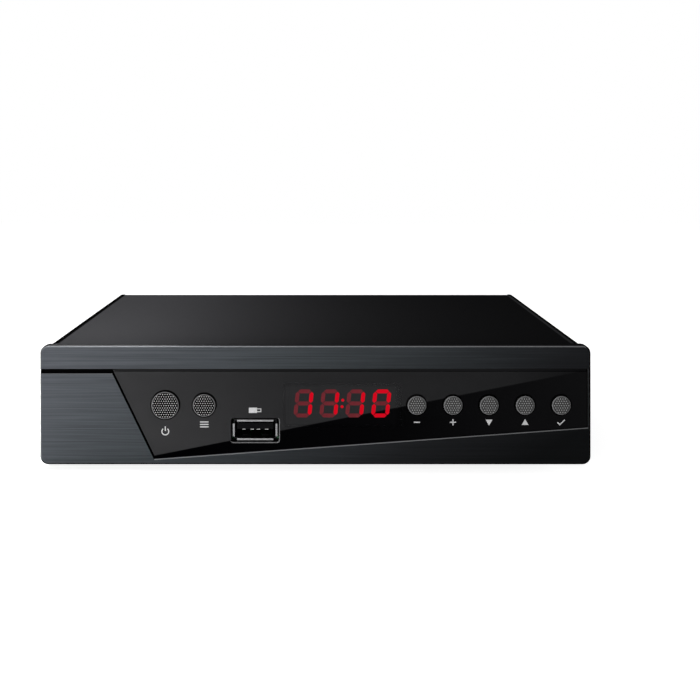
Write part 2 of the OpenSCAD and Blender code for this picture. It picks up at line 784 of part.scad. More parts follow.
// Pan head screw with a cross recess, its shank pointing down from the seat
module screw(d, head_d, head_h, l) {
    rim = 0.5;
    recess_w = head_d / 5;
    recess_l = 3 * recess_w;
    difference() {
        rotate_extrude() polygon([[0, -l], [d / 2, -l], [d / 2, 0], [head_d / 2, 0],
            [head_d / 2, head_h - rim], [head_d / 2 - rim, head_h], [0, head_h]]);
        for (a = [0, 90]) rotate(a) translate([0, 0, head_h])
            cube([recess_l, recess_w, head_h], center = true);
    }
}

module cover_screws() {
    color([0.1, 0.1, 0.1]) cover_screw_places() screw(screw_d, screw_head_d, screw_head_h, screw_l);
}

module board_screws() {
    color([0.7, 0.7, 0.72]) board_screw_places() screw(screw_d, screw_head_d, screw_head_h, screw_l);
}

module front_board_screws() {
    color([0.7, 0.7, 0.72])
        for (p = POSTS) translate([p[0], front_board_y1, p[1]]) rotate([-90, 0, 0])
            screw(small_screw_d, small_screw_head_d, screw_head_h, screw_l + board_t);
}

module key_cap(k) {
    r = k[1] / 2;
    flange_r = r + key_flange_w;
    color([0.45, 0.46, 0.48]) turned_y(k[0], key_z)
        polygon([[0, key_y0], [r - key_bevel, key_y0], [r, key_y0 + key_bevel], [r, flange_y0],
            [flange_r, flange_y0], [flange_r, flange_y1], [key_stem_d / 2, flange_y1],
            [key_stem_d / 2, plunger_y0], [0, plunger_y0]]);
}

module plunger(k) {
    color([0.2, 0.2, 0.2]) turned_y(k[0], key_z) ring_profile(0, plunger_d / 2, plunger_y0, plunger_y1);
}

module key_switches() {
    color([0.15, 0.15, 0.15]) for (k = KEYS) difference() {
        along_y(switch_y0, front_board_y0) translate([k[0], key_z]) square(switch_w, center = true);
        turned_y(k[0], key_z)
            ring_profile(0, plunger_d / 2 + plunger_gap,
                switch_y0 - cut, plunger_y1 + key_travel + plunger_gap);
    }
}

module front_board() {
    notch = usb_lip + 2 * usb_gap;
    color([0.1, 0.35, 0.18]) difference() {
        along_y(front_board_y0, front_board_y1)
            rect_between(front_board_x0, front_board_x1, front_board_z0, front_board_z1);
        along_y(front_board_y0 - cut, front_board_y1 + cut) {
            rect_between(usb_x - usb_out_w / 2 - notch, usb_x + usb_out_w / 2 + notch,
                front_board_z0 - cut, usb_z + usb_out_h / 2 + notch);
            for (p = POSTS) translate(p) circle(d = small_screw_d + 4 * fit_gap);
        }
    }
}

// Segments of one digit, by name, as six-cornered bars between the digit's corners
function slanted(p) = [p[0] + p[1] * tan(digit_slant), p[1]];
function bar_points(a, b) = let(
    u = (b - a) / norm(b - a),
    n = [-u[1], u[0]] * segment_w / 2,
    p = a + u * segment_gap,
    q = b - u * segment_gap,
    e = u * segment_w / 2)
    [for (c = [p, p + e + n, q - e + n, q, q - e - n, p + e - n]) slanted(c)];
bar_x = (digit_w - segment_w) / 2;
bar_z = (digit_h - segment_w) / 2;
SEGMENTS = [
    ["a", [-bar_x, bar_z], [bar_x, bar_z]],
    ["b", [bar_x, 0], [bar_x, bar_z]],
    ["c", [bar_x, -bar_z], [bar_x, 0]],
    ["d", [-bar_x, -bar_z], [bar_x, -bar_z]],
    ["e", [-bar_x, -bar_z], [-bar_x, 0]],
    ["f", [-bar_x, 0], [-bar_x, bar_z]],
    ["g", [-bar_x, 0], [bar_x, 0]]];
LIT = ["bc", "bc", "bc", "abcdef"];
colon_d = 0.9;
colon_z = 1;

function is_lit(digit, name) = len(search(name, LIT[digit])) > 0;

module segment_outlines(lit) {
    for (i = [0:3], s = SEGMENTS) if (is_lit(i, s[0]) == lit)
        translate([display_x + (i - 1.5) * digit_pitch, key_z]) polygon(bar_points(s[1], s[2]));
    if (lit) for (s = [-1, 1]) translate([display_x, key_z] + slanted([0, s * colon_z])) circle(d = colon_d);
}

module segment_solids(lit) {
    along_y(window_y1 + display_gap, window_y1 + display_gap + segment_d) segment_outlines(lit);
}

module lit_segments() {
    color([1, 0.15, 0.05]) segment_solids(true);
}

module dim_segments() {
    color([0.25, 0.03, 0.02]) segment_solids(false);
}

module display_block() {
    color([0.05, 0.05, 0.05]) difference() {
        along_y(window_y1 + display_gap, front_board_y0)
            translate([display_x, key_z]) square([display_w, display_h], center = true);
        segment_solids(true);
        segment_solids(false);
    }
}

module infrared_receiver() {
    color([0.06, 0.06, 0.07]) {
        along_y(front_board_y0 - ir_d, front_board_y0)
            translate([usb_x, ir_z]) square([ir_w, ir_h], center = true);
        translate([usb_x, front_board_y0 - ir_d, ir_z]) sphere(ir_lens_r);
    }
}

// The ribbon leaves the front board's header, bends down and drops into the main board's header
ribbon_drop = 6;
ribbon_straight = 2;
ribbon_x = front_board_x0 + ribbon_inset;
ribbon_z = front_board_z1 - ribbon_drop;
ribbon_y0 = front_board_y1 + header_h;
ribbon_bend_y = ribbon_y0 + ribbon_straight;
ribbon_y = ribbon_bend_y + ribbon_r;
ribbon_foot_z = board_z1 + header_h;

module ribbon_cable() {
    half = ribbon_t / 2;
    bend_z = ribbon_z - ribbon_r;
    color([0.75, 0.75, 0.72]) along_x(ribbon_x - ribbon_w / 2, ribbon_x + ribbon_w / 2) {
        rect_between(ribbon_y0, ribbon_bend_y, ribbon_z - half, ribbon_z + half);
        intersection() {
            translate([ribbon_bend_y, bend_z]) difference() {
                circle(ribbon_r + half);
                circle(ribbon_r - half);
            }
            rect_between(ribbon_bend_y, ribbon_y + ribbon_t, bend_z, ribbon_z + ribbon_t);
        }
        rect_between(ribbon_y - half, ribbon_y + half, ribbon_foot_z, bend_z);
    }
}

module ribbon_headers() {
    header_wall = 1;
    half = ribbon_w / 2 + header_wall;
    color([0.9, 0.88, 0.82]) {
        along_y(front_board_y1, ribbon_y0)
            rect_between(ribbon_x - half, ribbon_x + half, ribbon_z - header_d / 2, ribbon_z + header_d / 2);
        along_z(board_z1, ribbon_foot_z)
            rect_between(ribbon_x - half, ribbon_x + half, ribbon_y - header_d / 2, ribbon_y + header_d / 2);
    }
}

module usb_open_outline() {
    square([usb_open_w, usb_open_h], center = true);
}

// Slots round the two spring leaves in the shell's top and floor, open towards the mouth
module usb_leaf_slots() {
    leaf_w = 2.2;
    leaf_l = 6;
    slot_w = 0.5;
    from_mouth = 3;
    for (x = [-1, 1])
        translate([x * usb_open_w / 4 - leaf_w / 2 - slot_w, usb_y0 + from_mouth]) difference() {
            square([leaf_w + 2 * slot_w, leaf_l + slot_w]);
            translate([slot_w, slot_w]) square([leaf_w, leaf_l + cut]);
        }
}

module usb_shell() {
    corner_w = 0.7;
    corner_h = 0.6;
    corner_d = 1.2;
    lip_w = usb_open_w - 2 * corner_w;
    lip_h = usb_open_h - 2 * corner_h;
    color([0.75, 0.75, 0.77]) translate([usb_x, 0, usb_z]) difference() {
        union() {
            along_y(usb_y0, usb_y1) difference() {
                rounded_rect(usb_out_w, usb_out_h, usb_shell_t);
                usb_open_outline();
            }
            along_y(usb_y0, usb_y0 + usb_shell_t) difference() {
                union() {
                    square([lip_w, usb_out_h + 2 * usb_lip], center = true);
                    square([usb_out_w + 2 * usb_lip, lip_h], center = true);
                }
                usb_open_outline();
            }
        }
        for (x = [-1, 1], z = [-1, 1])
            along_y(usb_y0 - cut, usb_y0 + corner_d)
                translate([x * usb_out_w / 2, z * usb_out_h / 2])
                    square(2 * [corner_w + usb_shell_t, corner_h + usb_shell_t], center = true);
        along_z(-usb_out_h, usb_out_h) usb_leaf_slots();
    }
}

usb_tongue_z1 = usb_z + usb_open_h / 2 - usb_tongue_gap;
usb_tongue_z0 = usb_tongue_z1 - usb_tongue_t;
usb_tongue_sink = 0.8;
usb_block_d = 3;
usb_tongue_y0 = usb_y0 + usb_tongue_sink;
usb_block_y0 = usb_y1 - usb_block_d;

module usb_tongue() {
    color([0.06, 0.06, 0.06]) {
        along_y(usb_tongue_y0, usb_y1)
            rect_between(usb_x - usb_tongue_w / 2, usb_x + usb_tongue_w / 2, usb_tongue_z0, usb_tongue_z1);
        along_y(usb_block_y0, usb_y1) translate([usb_x, usb_z])
            square([usb_open_w - 2 * fit_gap, usb_open_h - 2 * fit_gap], center = true);
    }
}

module usb_contacts() {
    contact_w = 1;
    contact_t = 0.25;
    inner_x = 1;
    outer_x = 3.5;
    color([0.85, 0.7, 0.35]) along_y(usb_tongue_y0 + usb_shell_t, usb_block_y0)
        for (x = [-outer_x, -inner_x, inner_x, outer_x])
            translate([usb_x + x - contact_w / 2, usb_tongue_z0 - contact_t]) square([contact_w, contact_t]);
}

module main_board() {
    color([0.1, 0.35, 0.18]) difference() {
        along_z(board_z0, board_z1) rect_between(-board_w / 2, board_w / 2, board_y0, board_y1);
        board_screw_places() cylinder(h = 4 * board_t, d = screw_d + 4 * screw_gap, center = true);
    }
}

// A square block standing on the main board
module board_brick(x, y, w, d, z0, h) {
    translate([x - w / 2, y - d / 2, z0]) cube([w, d, h]);
}

chip_y = rear_wall_y0 - chip_back;
sink_base_t = 2;
fin_t = 1;

module main_chip() {
    color([0.05, 0.05, 0.05]) board_brick(chip_x, chip_y, chip_w, chip_w, board_z1, chip_t);
}

module heat_sink() {
    z = board_z1 + chip_t;
    step = (sink_w - fin_t) / (sink_fins - 1);
    color([0.6, 0.6, 0.62]) {
        board_brick(chip_x, chip_y, sink_w, sink_w, z, sink_base_t);
        for (i = [0:sink_fins - 1])
            board_brick(chip_x + (i - (sink_fins - 1) / 2) * step, chip_y, fin_t, sink_w, z, sink_h);
    }
}

module memory_chips() {
    memory_w = 10;
    memory_d = 6;
    memory_pitch = 13;
    beside_chip = 26;
    before_tuner = 8;
    color([0.05, 0.05, 0.05]) for (i = [0, 1])
        board_brick(chip_x + beside_chip, tuner_y0 - before_tuner - memory_pitch * i,
            memory_w, memory_d, board_z1, chip_t);
}

// One capacitor: a can with a rolled bead over its foot and a scored vent on top
module capacitor() {
    r = capacitor_d / 2;
    rim = 0.4;
    bead_z = 1.2;
    bead = 0.35;
    score_w = 0.3;
    score_d = 0.2;
    difference() {
        rotate_extrude() polygon([
            [0, 0], [r, 0], [r, bead_z - bead], [r - bead, bead_z], [r, bead_z + bead],
            [r, capacitor_h - rim], [r - rim, capacitor_h], [0, capacitor_h]]);
        for (turn = [0, 90])
            translate([0, 0, capacitor_h]) rotate([0, 0, turn])
                cube([r, score_w, 2 * score_d], center = true);
    }
}

module capacitors() {
    from_rear = 26;
    gap = 4;
    pitch = capacitor_d + gap;
    color([0.12, 0.14, 0.3])
        for (x = [0, 1], y = [0, 1])
            translate([dc_x + x * pitch, board_y1 - from_rear - y * pitch, board_z1]) capacitor();
}

module coils() {
    flange_d = 8;
    flange_t = 1;
    core_d = 6;
    coil_h = 4.5;
    pitch = 12;
    before_chip = 8;
    color([0.2, 0.2, 0.22]) for (i = [0, 1])
        translate([dc_x + pitch * i, chip_y - before_chip, board_z1]) {
            cylinder(h = coil_h, d = core_d);
            for (z = [0, coil_h - flange_t]) translate([0, 0, z]) cylinder(h = flange_t, d = flange_d);
        }
}

module crystal() {
    can_w = 11;
    can_d = 4.6;
    can_h = 3.5;
    before_sink = 6;
    color([0.75, 0.75, 0.77]) along_z(board_z1, board_z1 + can_h)
        translate([chip_x, chip_y - sink_w / 2 - before_sink]) rotate(90) slot_outline(can_w, can_d);
}

module tuner_walls(w, d, z0, z1, t) {
    along_z(z0, z1) difference() {
        translate([tuner_x, tuner_y1 - d / 2]) square([w, d], center = true);
        translate([tuner_x, tuner_y1 - d / 2]) square([w - 2 * t, d - 2 * t], center = true);
    }
}

module tuner_can() {
    color([0.7, 0.7, 0.7]) difference() {
        tuner_walls(tuner_w, tuner_d, board_z1, board_z1 + tuner_h, tuner_t);
        for (x = [aerial_in_x, aerial_out_x])
            turned_y(x, aerial_z)
                ring_profile(0, contact_r + contact_wall + fit_gap, tuner_y1 - 2 * tuner_t, case_d);
    }
}

module tuner_lid() {
    skirt = 4;
    fingers = 6;
    finger_gap = 0.6;
    finger_pitch = tuner_d / fingers;
    w = tuner_w + 2 * fit_gap + 2 * tuner_t;
    z1 = board_z1 + tuner_h;
    color([0.76, 0.76, 0.77]) difference() {
        along_z(z1 - skirt, z1 + tuner_t) translate([tuner_x - w / 2, tuner_y0 - fit_gap - tuner_t])
            square([w, tuner_d + fit_gap + tuner_t]);
        along_z(z1 - skirt - cut, z1) translate([tuner_x - w / 2 + tuner_t, tuner_y0 - fit_gap])
            square([w - 2 * tuner_t, tuner_d + 2 * cut]);
        for (i = [1:fingers - 1])
            along_x(tuner_x - w, tuner_x + w)
                rect_between(tuner_y0 + i * finger_pitch, tuner_y0 + i * finger_pitch + finger_gap,
                    z1 - skirt - cut, z1 - skirt / 4);
    }
}

module aerial_in_sleeve() {
    color([0.78, 0.78, 0.8]) turned_y(aerial_in_x, aerial_z)
        ring_profile(aerial_in_r, aerial_in_r + aerial_collar_w, tuner_y1, aerial_y1);
}

module aerial_in_insulator() {
    color([0.9, 0.9, 0.88]) turned_y(aerial_in_x, aerial_z)
        ring_profile(contact_r + contact_wall + fit_gap, aerial_in_r - fit_gap,
            tuner_y1, tuner_y1 + aerial_base_t);
}

module aerial_in_contact() {
    color([0.85, 0.7, 0.35]) turned_y(aerial_in_x, aerial_z)
        ring_profile(contact_r, contact_r + contact_wall, tuner_y1 - tuner_t, aerial_y1 - pin_sink);
}

module aerial_out_sleeve() {
    r = aerial_out_d / 2;
    shoulder_reach = 0.6;
    shoulder_y1 = case_d + shoulder_reach;
    color([0.78, 0.78, 0.8]) turned_y(aerial_out_x, aerial_z) polygon([
        [r - aerial_wall, tuner_y1], [aerial_shoulder_r, tuner_y1], [aerial_shoulder_r, shoulder_y1],
        [r, shoulder_y1], [r, aerial_y1], [r - aerial_wall, aerial_y1]]);
}

module aerial_out_insulator() {
    color([0.9, 0.9, 0.88]) turned_y(aerial_out_x, aerial_z)
        ring_profile(aerial_pin_d / 2 + fit_gap, aerial_out_d / 2 - aerial_wall - fit_gap,
            tuner_y1, tuner_y1 + aerial_base_t);
}

module aerial_out_pin() {
    r = aerial_pin_d / 2;
    tip = 0.6;
    y1 = aerial_y1 - pin_sink;
    color([0.85, 0.7, 0.35]) turned_y(aerial_out_x, aerial_z)
        polygon([[0, tuner_y1 - tuner_t], [r, tuner_y1 - tuner_t], [r, y1 - tip], [r - tip, y1], [0, y1]]);
}

// Mouth of the HDMI socket, its lower corners cut, grown by a wall
module hdmi_outline(grow) {
    w = hdmi_w / 2 + grow;
    h = hdmi_h / 2 + grow;
    corner_x = 1.8;
    corner_z = 1.6;
    polygon([[-w, h], [w, h], [w, corner_z - h], [w - corner_x, -h], [corner_x - w, -h], [-w, corner_z - h]]);
}

module hdmi_shell() {
    color([0.75, 0.75, 0.77]) along_y(hdmi_y0, hdmi_y1) translate([hdmi_x, hdmi_z]) difference() {
        hdmi_outline(hdmi_wall);
        hdmi_outline(0);
    }
}

module hdmi_tongue() {
    tongue_w = 11.9;
    tongue_t = 1.1;
    tongue_rise = 0.5;
    back_d = 3;
    color([0.06, 0.06, 0.06]) translate([hdmi_x, 0, hdmi_z]) {
        along_y(hdmi_y0, hdmi_y0 + back_d) hdmi_outline(-fit_gap);
        along_y(hdmi_y0, hdmi_y1 - pin_sink)
            translate([0, tongue_rise]) square([tongue_w, tongue_t], center = true);
    }
}

module av_block() {
    groove_w = 1;
    groove_d = 2;
    color([0.08, 0.08, 0.08]) difference() {
        along_y(av_block_y1 - av_block_d, av_block_y1)
            rect_between(AV_X[1] - av_half_w, AV_X[1] + av_half_w, board_z1, board_z1 + av_block_h);
        for (x = [AV_X[0], AV_X[1]])
            translate([x - av_pitch / 2 - groove_w / 2, av_block_y1 - groove_d, board_z1 - cut])
                cube([groove_w, groove_d + cut, av_block_h + 2 * cut]);
    }
}

module av_sleeves() {
    r = av_sleeve_d / 2;
    color([0.78, 0.78, 0.8]) for (x = AV_X) turned_y(x, av_z)
        ring_profile(r - av_sleeve_wall, r, av_block_y1 + av_base_t, av_y1);
}

module av_insert(x) {
    core_r = av_sleeve_d / 2 - av_sleeve_wall - fit_gap;
    collar_r = av_sleeve_d / 2 + fit_gap;
    y0 = av_block_y1;
    collar_y1 = case_d + av_collar_reach;
    turned_y(x, av_z) polygon([
        [av_bore_d / 2, y0], [collar_r + av_collar_w, y0], [collar_r + av_collar_w, collar_y1],
        [collar_r, collar_y1], [collar_r, y0 + av_base_t], [core_r, y0 + av_base_t],
        [core_r, av_y1 - av_sleeve_wall], [av_bore_d / 2, av_y1 - av_sleeve_wall]]);
}

module video_insert() {
    color([0.9, 0.75, 0.1]) av_insert(AV_X[0]);
}

module left_audio_insert() {
    color([0.9, 0.9, 0.88]) av_insert(AV_X[1]);
}

module right_audio_insert() {
    color([0.75, 0.1, 0.1]) av_insert(AV_X[2]);
}

module dc_jack() {
    color([0.07, 0.07, 0.07]) difference() {
        along_y(dc_y1 - dc_body_d, dc_y1)
            rect_between(dc_x - dc_body_w / 2, dc_x + dc_body_w / 2, board_z1, dc_z + dc_body_w / 2);
        turned_y(dc_x, dc_z) ring_profile(0, dc_bore_d / 2, dc_y1 - dc_bore_l, dc_y1 + cut);
    }
}

module dc_pin() {
    r = dc_pin_d / 2;
    tip = 0.4;
    y1 = dc_y1 - pin_sink;
    color([0.78, 0.78, 0.8]) turned_y(dc_x, dc_z)
        polygon([[0, dc_y1 - dc_bore_l], [r, dc_y1 - dc_bore_l], [r, y1 - tip], [r - tip, y1], [0, y1]]);
}

module placed() {
    translate([0, front_y, 0]) children();
}

placed() front_panel();
placed() display_window();
placed() top_cover();
placed() bottom_chassis();
placed() feet();
placed() cover_screws();
placed() board_screws();
placed() front_board_screws();
placed() key_cap(KEYS[0]);  // standby_key
placed() key_cap(KEYS[1]);  // menu_key
placed() key_cap(KEYS[2]);  // volume_down_key
placed() key_cap(KEYS[3]);  // volume_up_key
placed() key_cap(KEYS[4]);  // channel_down_key
placed() key_cap(KEYS[5]);  // channel_up_key
placed() key_cap(KEYS[6]);  // confirm_key
placed() plunger(KEYS[0]);  // standby_plunger
placed() plunger(KEYS[1]);  // menu_plunger
placed() plunger(KEYS[2]);  // volume_down_plunger
placed() plunger(KEYS[3]);  // volume_up_plunger
placed() plunger(KEYS[4]);  // channel_down_plunger
placed() plunger(KEYS[5]);  // channel_up_plunger
placed() plunger(KEYS[6]);  // confirm_plunger
placed() key_switches();
placed() front_board();
placed() display_block();
placed() lit_segments();
placed() dim_segments();
placed() infrared_receiver();
placed() ribbon_cable();
placed() ribbon_headers();
placed() usb_shell();
placed() usb_tongue();
placed() usb_contacts();
placed() main_board();
placed() main_chip();
placed() heat_sink();
placed() memory_chips();
placed() capacitors();
placed() coils();
placed() crystal();
placed() tuner_can();
placed() tuner_lid();
placed() aerial_in_sleeve();
placed() aerial_in_insulator();
placed() aerial_in_contact();
placed() aerial_out_sleeve();
placed() aerial_out_insulator();
placed() aerial_out_pin();
placed() hdmi_shell();
placed() hdmi_tongue();
placed() av_block();
placed() av_sleeves();
placed() video_insert();
placed() left_audio_insert();
placed() right_audio_insert();
placed() dc_jack();
placed() dc_pin();
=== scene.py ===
"""Looks of a terrestrial receiver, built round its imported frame. Metres, in the part's own frame."""

import math

import bpy
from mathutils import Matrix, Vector


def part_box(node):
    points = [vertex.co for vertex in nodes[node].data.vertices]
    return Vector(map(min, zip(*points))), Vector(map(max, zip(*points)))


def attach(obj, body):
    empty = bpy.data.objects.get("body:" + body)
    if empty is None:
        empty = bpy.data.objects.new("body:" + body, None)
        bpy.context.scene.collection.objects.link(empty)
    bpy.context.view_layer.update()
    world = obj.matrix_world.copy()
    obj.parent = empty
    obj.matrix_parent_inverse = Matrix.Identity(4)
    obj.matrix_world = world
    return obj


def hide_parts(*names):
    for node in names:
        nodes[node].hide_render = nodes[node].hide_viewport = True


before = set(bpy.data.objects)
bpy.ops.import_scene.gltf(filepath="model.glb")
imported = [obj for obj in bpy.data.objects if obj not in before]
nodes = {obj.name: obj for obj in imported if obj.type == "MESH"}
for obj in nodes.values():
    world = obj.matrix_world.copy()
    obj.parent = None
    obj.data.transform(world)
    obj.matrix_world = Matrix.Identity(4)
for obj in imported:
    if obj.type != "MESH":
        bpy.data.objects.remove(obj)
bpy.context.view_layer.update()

# Places that the pieces share, read from the frame
mm = 0.001
touch = 0.01 * mm
panel_lo, panel_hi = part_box("front_panel")
lens_lo, lens_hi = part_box("display_window")
display_lo, display_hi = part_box("display_block")
digits_lo, digits_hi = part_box("dim_segments")
socket_lo, socket_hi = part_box("usb_shell")
cover_lo, cover_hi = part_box("top_cover")
face_y = panel_lo.y
lens_y = lens_lo.y
to_right = (1.0, 0.0, 0.0)
to_back = (0.0, 1.0, 0.0)
to_top = (0.0, 0.0, 1.0)
KEYS = ["standby", "menu", "volume_down", "volume_up", "channel_down", "channel_up", "confirm"]


# Selecting and editing

def pick(*pieces):
    """Makes these the only selected objects, the first of them active."""
    bpy.ops.object.select_all(action="DESELECT")
    for piece in pieces:
        piece.select_set(True)
    bpy.context.view_layer.objects.active = pieces[0]


def edit(piece):
    """Edit mode on one piece, with what is selected in it."""
    pick(piece)
    bpy.ops.object.mode_set(mode="EDIT")


def open_mesh(piece):
    """Edit mode on one piece, with all of it selected."""
    edit(piece)
    bpy.ops.mesh.select_all(action="SELECT")


def close_mesh():
    bpy.ops.object.mode_set(mode="OBJECT")


def apply_place(piece):
    """Puts a piece's place, turn and size into its mesh."""
    pick(piece)
    bpy.ops.object.transform_apply(location=True, rotation=True, scale=True)


def apply_modifier(piece, kind, **settings):
    modifier = piece.modifiers.new(kind.lower(), kind)
    for name, value in settings.items():
        setattr(modifier, name, value)
    pick(piece)
    bpy.ops.object.modifier_apply(modifier=modifier.name)


def cast(node, name):
    """A copy of a CAD node as one closed mesh, with its flat faces joined."""
    piece = bpy.data.objects.new(name, nodes[node].data.copy())
    bpy.context.collection.objects.link(piece)
    open_mesh(piece)
    bpy.ops.mesh.remove_doubles(threshold=0.001 * mm)
    bpy.ops.mesh.customdata_custom_splitnormals_clear()
    bpy.ops.mesh.dissolve_limited(angle_limit=math.radians(0.5))
    close_mesh()
    return piece


def roll_edges(piece, width, segments=2, limit=30, stays_sharp=None):
    """Rounds a piece's sharp edges, apart from those at places that stay sharp, and leaves its flats flat."""
    open_mesh(piece)
    bpy.ops.mesh.select_mode(type="EDGE")
    bpy.ops.mesh.select_all(action="DESELECT")
    bpy.ops.mesh.edges_select_sharp(sharpness=math.radians(limit))
    close_mesh()
    bpy.context.tool_settings.mesh_select_mode = (True, False, False)
    points = piece.data.vertices
    weights = piece.data.attributes.new("bevel_weight_edge", "FLOAT", "EDGE")
    for edge, weight in zip(piece.data.edges, weights.data):
        kept = stays_sharp and any(stays_sharp(points[i].co) for i in edge.vertices)
        weight.value = 1.0 if edge.select and not kept else 0.0
    apply_modifier(piece, "BEVEL", width=width, segments=segments, limit_method="WEIGHT",
                   use_clamp_overlap=False)
    piece.data.attributes.remove(piece.data.attributes["bevel_weight_edge"])
    bpy.ops.object.shade_smooth_by_angle(angle=math.radians(limit))
    apply_modifier(piece, "WEIGHTED_NORMAL", keep_sharp=True)


def dress(piece, *finishes, slot=0):
    """Gives a piece its finishes, all faces in one of them."""
    piece.data.materials.clear()
    for finish in finishes:
        piece.data.materials.append(finish)
    for face in piece.data.polygons:
        face.material_index = slot


def dress_where(piece, slot, test):
    """Puts the faces that pass the test, by middle and normal, into another of the piece's finishes."""
    for face in piece.data.polygons:
        if test(face.center, face.normal):
            face.material_index = slot


def stand_for(piece, node, body="receiver"):
    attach(piece, body)
    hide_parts(node)


# Finishes: tones are given as on a screen, 0 to 255

def tone(red, green, blue):
    """The shader's colour for a tone."""
    shares = [c / 255 for c in (red, green, blue)]
    return [s / 12.92 if s < 0.04 else ((s + 0.055) / 1.055) ** 2.4 for s in shares] + [1.0]


def shader_of(mat):
    return mat.node_tree.nodes["Principled BSDF"]


def new_finish(name, colour, roughness, metallic=0.0, specular=0.5):
    mat = bpy.data.materials.new(name)
    mat.use_nodes = True
    shader = shader_of(mat)
    shader.inputs["Base Color"].default_value = tone(*colour)
    shader.inputs["Roughness"].default_value = roughness
    shader.inputs["Metallic"].default_value = metallic
    shader.inputs["Specular IOR Level"].default_value = specular
    return mat


def add_node(mat, kind, **settings):
    node = mat.node_tree.nodes.new(kind)
    for name, value in settings.items():
        setattr(node, name, value)
    return node


def link(mat, output, socket):
    mat.node_tree.links.new(output, socket)


def place_on(mat):
    """Where a point lies on the piece, in metres."""
    return add_node(mat, "ShaderNodeTexCoord").outputs["Object"]


def grain(mat, size, detail=2.0):
    """Noise whose flecks have this size in mm along x, y and z."""
    mapping = add_node(mat, "ShaderNodeMapping")
    mapping.inputs["Scale"].default_value = [1 / (s * mm) for s in size]
    noise = add_node(mat, "ShaderNodeTexNoise")
    noise.inputs["Scale"].default_value = 1.0
    noise.inputs["Detail"].default_value = detail
    link(mat, place_on(mat), mapping.inputs["Vector"])
    link(mat, mapping.outputs["Vector"], noise.inputs["Vector"])
    return noise.outputs["Fac"]


def along(mat, direction):
    """Distance of a point along a direction."""
    dot = add_node(mat, "ShaderNodeVectorMath", operation="DOT_PRODUCT")
    dot.inputs[1].default_value = direction
    link(mat, place_on(mat), dot.inputs[0])
    return dot.outputs["Value"]


def ranged(mat, value, from_lo, from_hi, to_lo, to_hi):
    scale = add_node(mat, "ShaderNodeMapRange")
    for socket, number in zip(scale.inputs[1:5], (from_lo, from_hi, to_lo, to_hi)):
        socket.default_value = number
    link(mat, value, scale.inputs["Value"])
    return scale.outputs["Result"]


def spread(mat, noise, low, high):
    """Noise mapped so that its usual range runs from low to high."""
    return ranged(mat, noise, 0.3, 0.7, low, high)


def ramp(mat, value, *stops):
    """Colour that runs through the stops, each a position and a tone."""
    node = add_node(mat, "ShaderNodeValToRGB")
    elements = node.color_ramp.elements
    while len(elements) < len(stops):
        elements.new(1.0)
    for element, (position, colour) in zip(elements, stops):
        element.position = position
        element.color = tone(*colour)
    link(mat, value, node.inputs["Fac"])
    return node.outputs["Color"]


def blend(mat, factor, first, second):
    """Mix of two colours, each a shader's colour or a socket."""
    mix = add_node(mat, "ShaderNodeMix", data_type="RGBA")
    link(mat, factor, mix.inputs["Factor"])
    for socket, colour in ((mix.inputs[6], first), (mix.inputs[7], second)):
        if isinstance(colour, list):
            socket.default_value = colour
        else:
            link(mat, colour, socket)
    return mix.outputs[2]


def scaled(mat, colour, value):
    node = add_node(mat, "ShaderNodeVectorMath", operation="SCALE")
    link(mat, colour, node.inputs[0])
    link(mat, value, node.inputs["Scale"])
    return node.outputs["Vector"]


def times(mat, first, second):
    node = add_node(mat, "ShaderNodeMath", operation="MULTIPLY")
    link(mat, first, node.inputs[0])
    link(mat, second, node.inputs[1])
    return node.outputs["Value"]


def set_colour(mat, colour):
    link(mat, colour, shader_of(mat).inputs["Base Color"])


def colour_source(mat):
    return shader_of(mat).inputs["Base Color"].links[0].from_socket


def set_roughness(mat, noise, low, high):
    link(mat, spread(mat, noise, low, high), shader_of(mat).inputs["Roughness"])


def set_bump(mat, value, depth):
    bump = add_node(mat, "ShaderNodeBump")
    bump.inputs["Strength"].default_value = 1.0
    bump.inputs["Distance"].default_value = depth
    link(mat, value, bump.inputs["Height"])
    link(mat, bump.outputs["Normal"], shader_of(mat).inputs["Normal"])


def flecked(name, dark, light, size, roughness, depth=0.0, metallic=0.0, specular=0.5):
    """A finish whose colour, gloss and relief all follow one grain. Its size and depth are in mm."""
    mat = new_finish(name, light, sum(roughness) / 2, metallic, specular)
    sizes = size if isinstance(size, tuple) else (size,) * 3
    flecks = grain(mat, sizes, detail=4.0)
    set_colour(mat, blend(mat, spread(mat, flecks, 0.0, 1.0), tone(*dark), tone(*light)))
    set_roughness(mat, flecks, *roughness)
    if depth:
        set_bump(mat, flecks, depth * mm)
    return mat


# Painted shade: the front film darkens from the upper left to the lower right, standing in for light that
# falls off across the front
fade_fall = 1.7
fade_direction = (1.0, 0.0, -fade_fall)
fade_from = panel_lo.x - fade_fall * panel_hi.z
fade_to = panel_hi.x - fade_fall * panel_hi.z + 40 * mm
fade_stops = (0.0, 0.42, 0.8, 1.0)
skin = 0.12 * mm
behind_film = 0.05


def brushed_film_painted_fade(name, tones, contrast, specular, depth=None):
    """Film brushed along x, darkened towards the lower right by painted shade. With a depth it ends there,
    and what lies behind is darker, which keeps a painted highlight to the front of a bevel.
    """
    mat = new_finish(name, tones[1], 0.42, specular=specular)
    fade = ranged(mat, along(mat, fade_direction), fade_from, fade_to, 0.0, 1.0)
    colour = ramp(mat, fade, *zip(fade_stops, tones))
    coarse = grain(mat, (40, 20, 0.42), detail=3.0)
    fine = grain(mat, (18, 20, 0.14))
    if depth:
        ends_at = face_y + depth
        inward = along(mat, to_back)
        colour = scaled(mat, colour, ranged(mat, inward, ends_at, ends_at + skin, 1.0, behind_film))
    colour = scaled(mat, colour, spread(mat, coarse, 1 - contrast, 1 + contrast))
    set_colour(mat, scaled(mat, colour, spread(mat, fine, 1 - contrast / 2, 1 + contrast / 2)))
    set_roughness(mat, fine, 0.36, 0.5)
    set_bump(mat, fine, 0.01 * mm)
    return mat
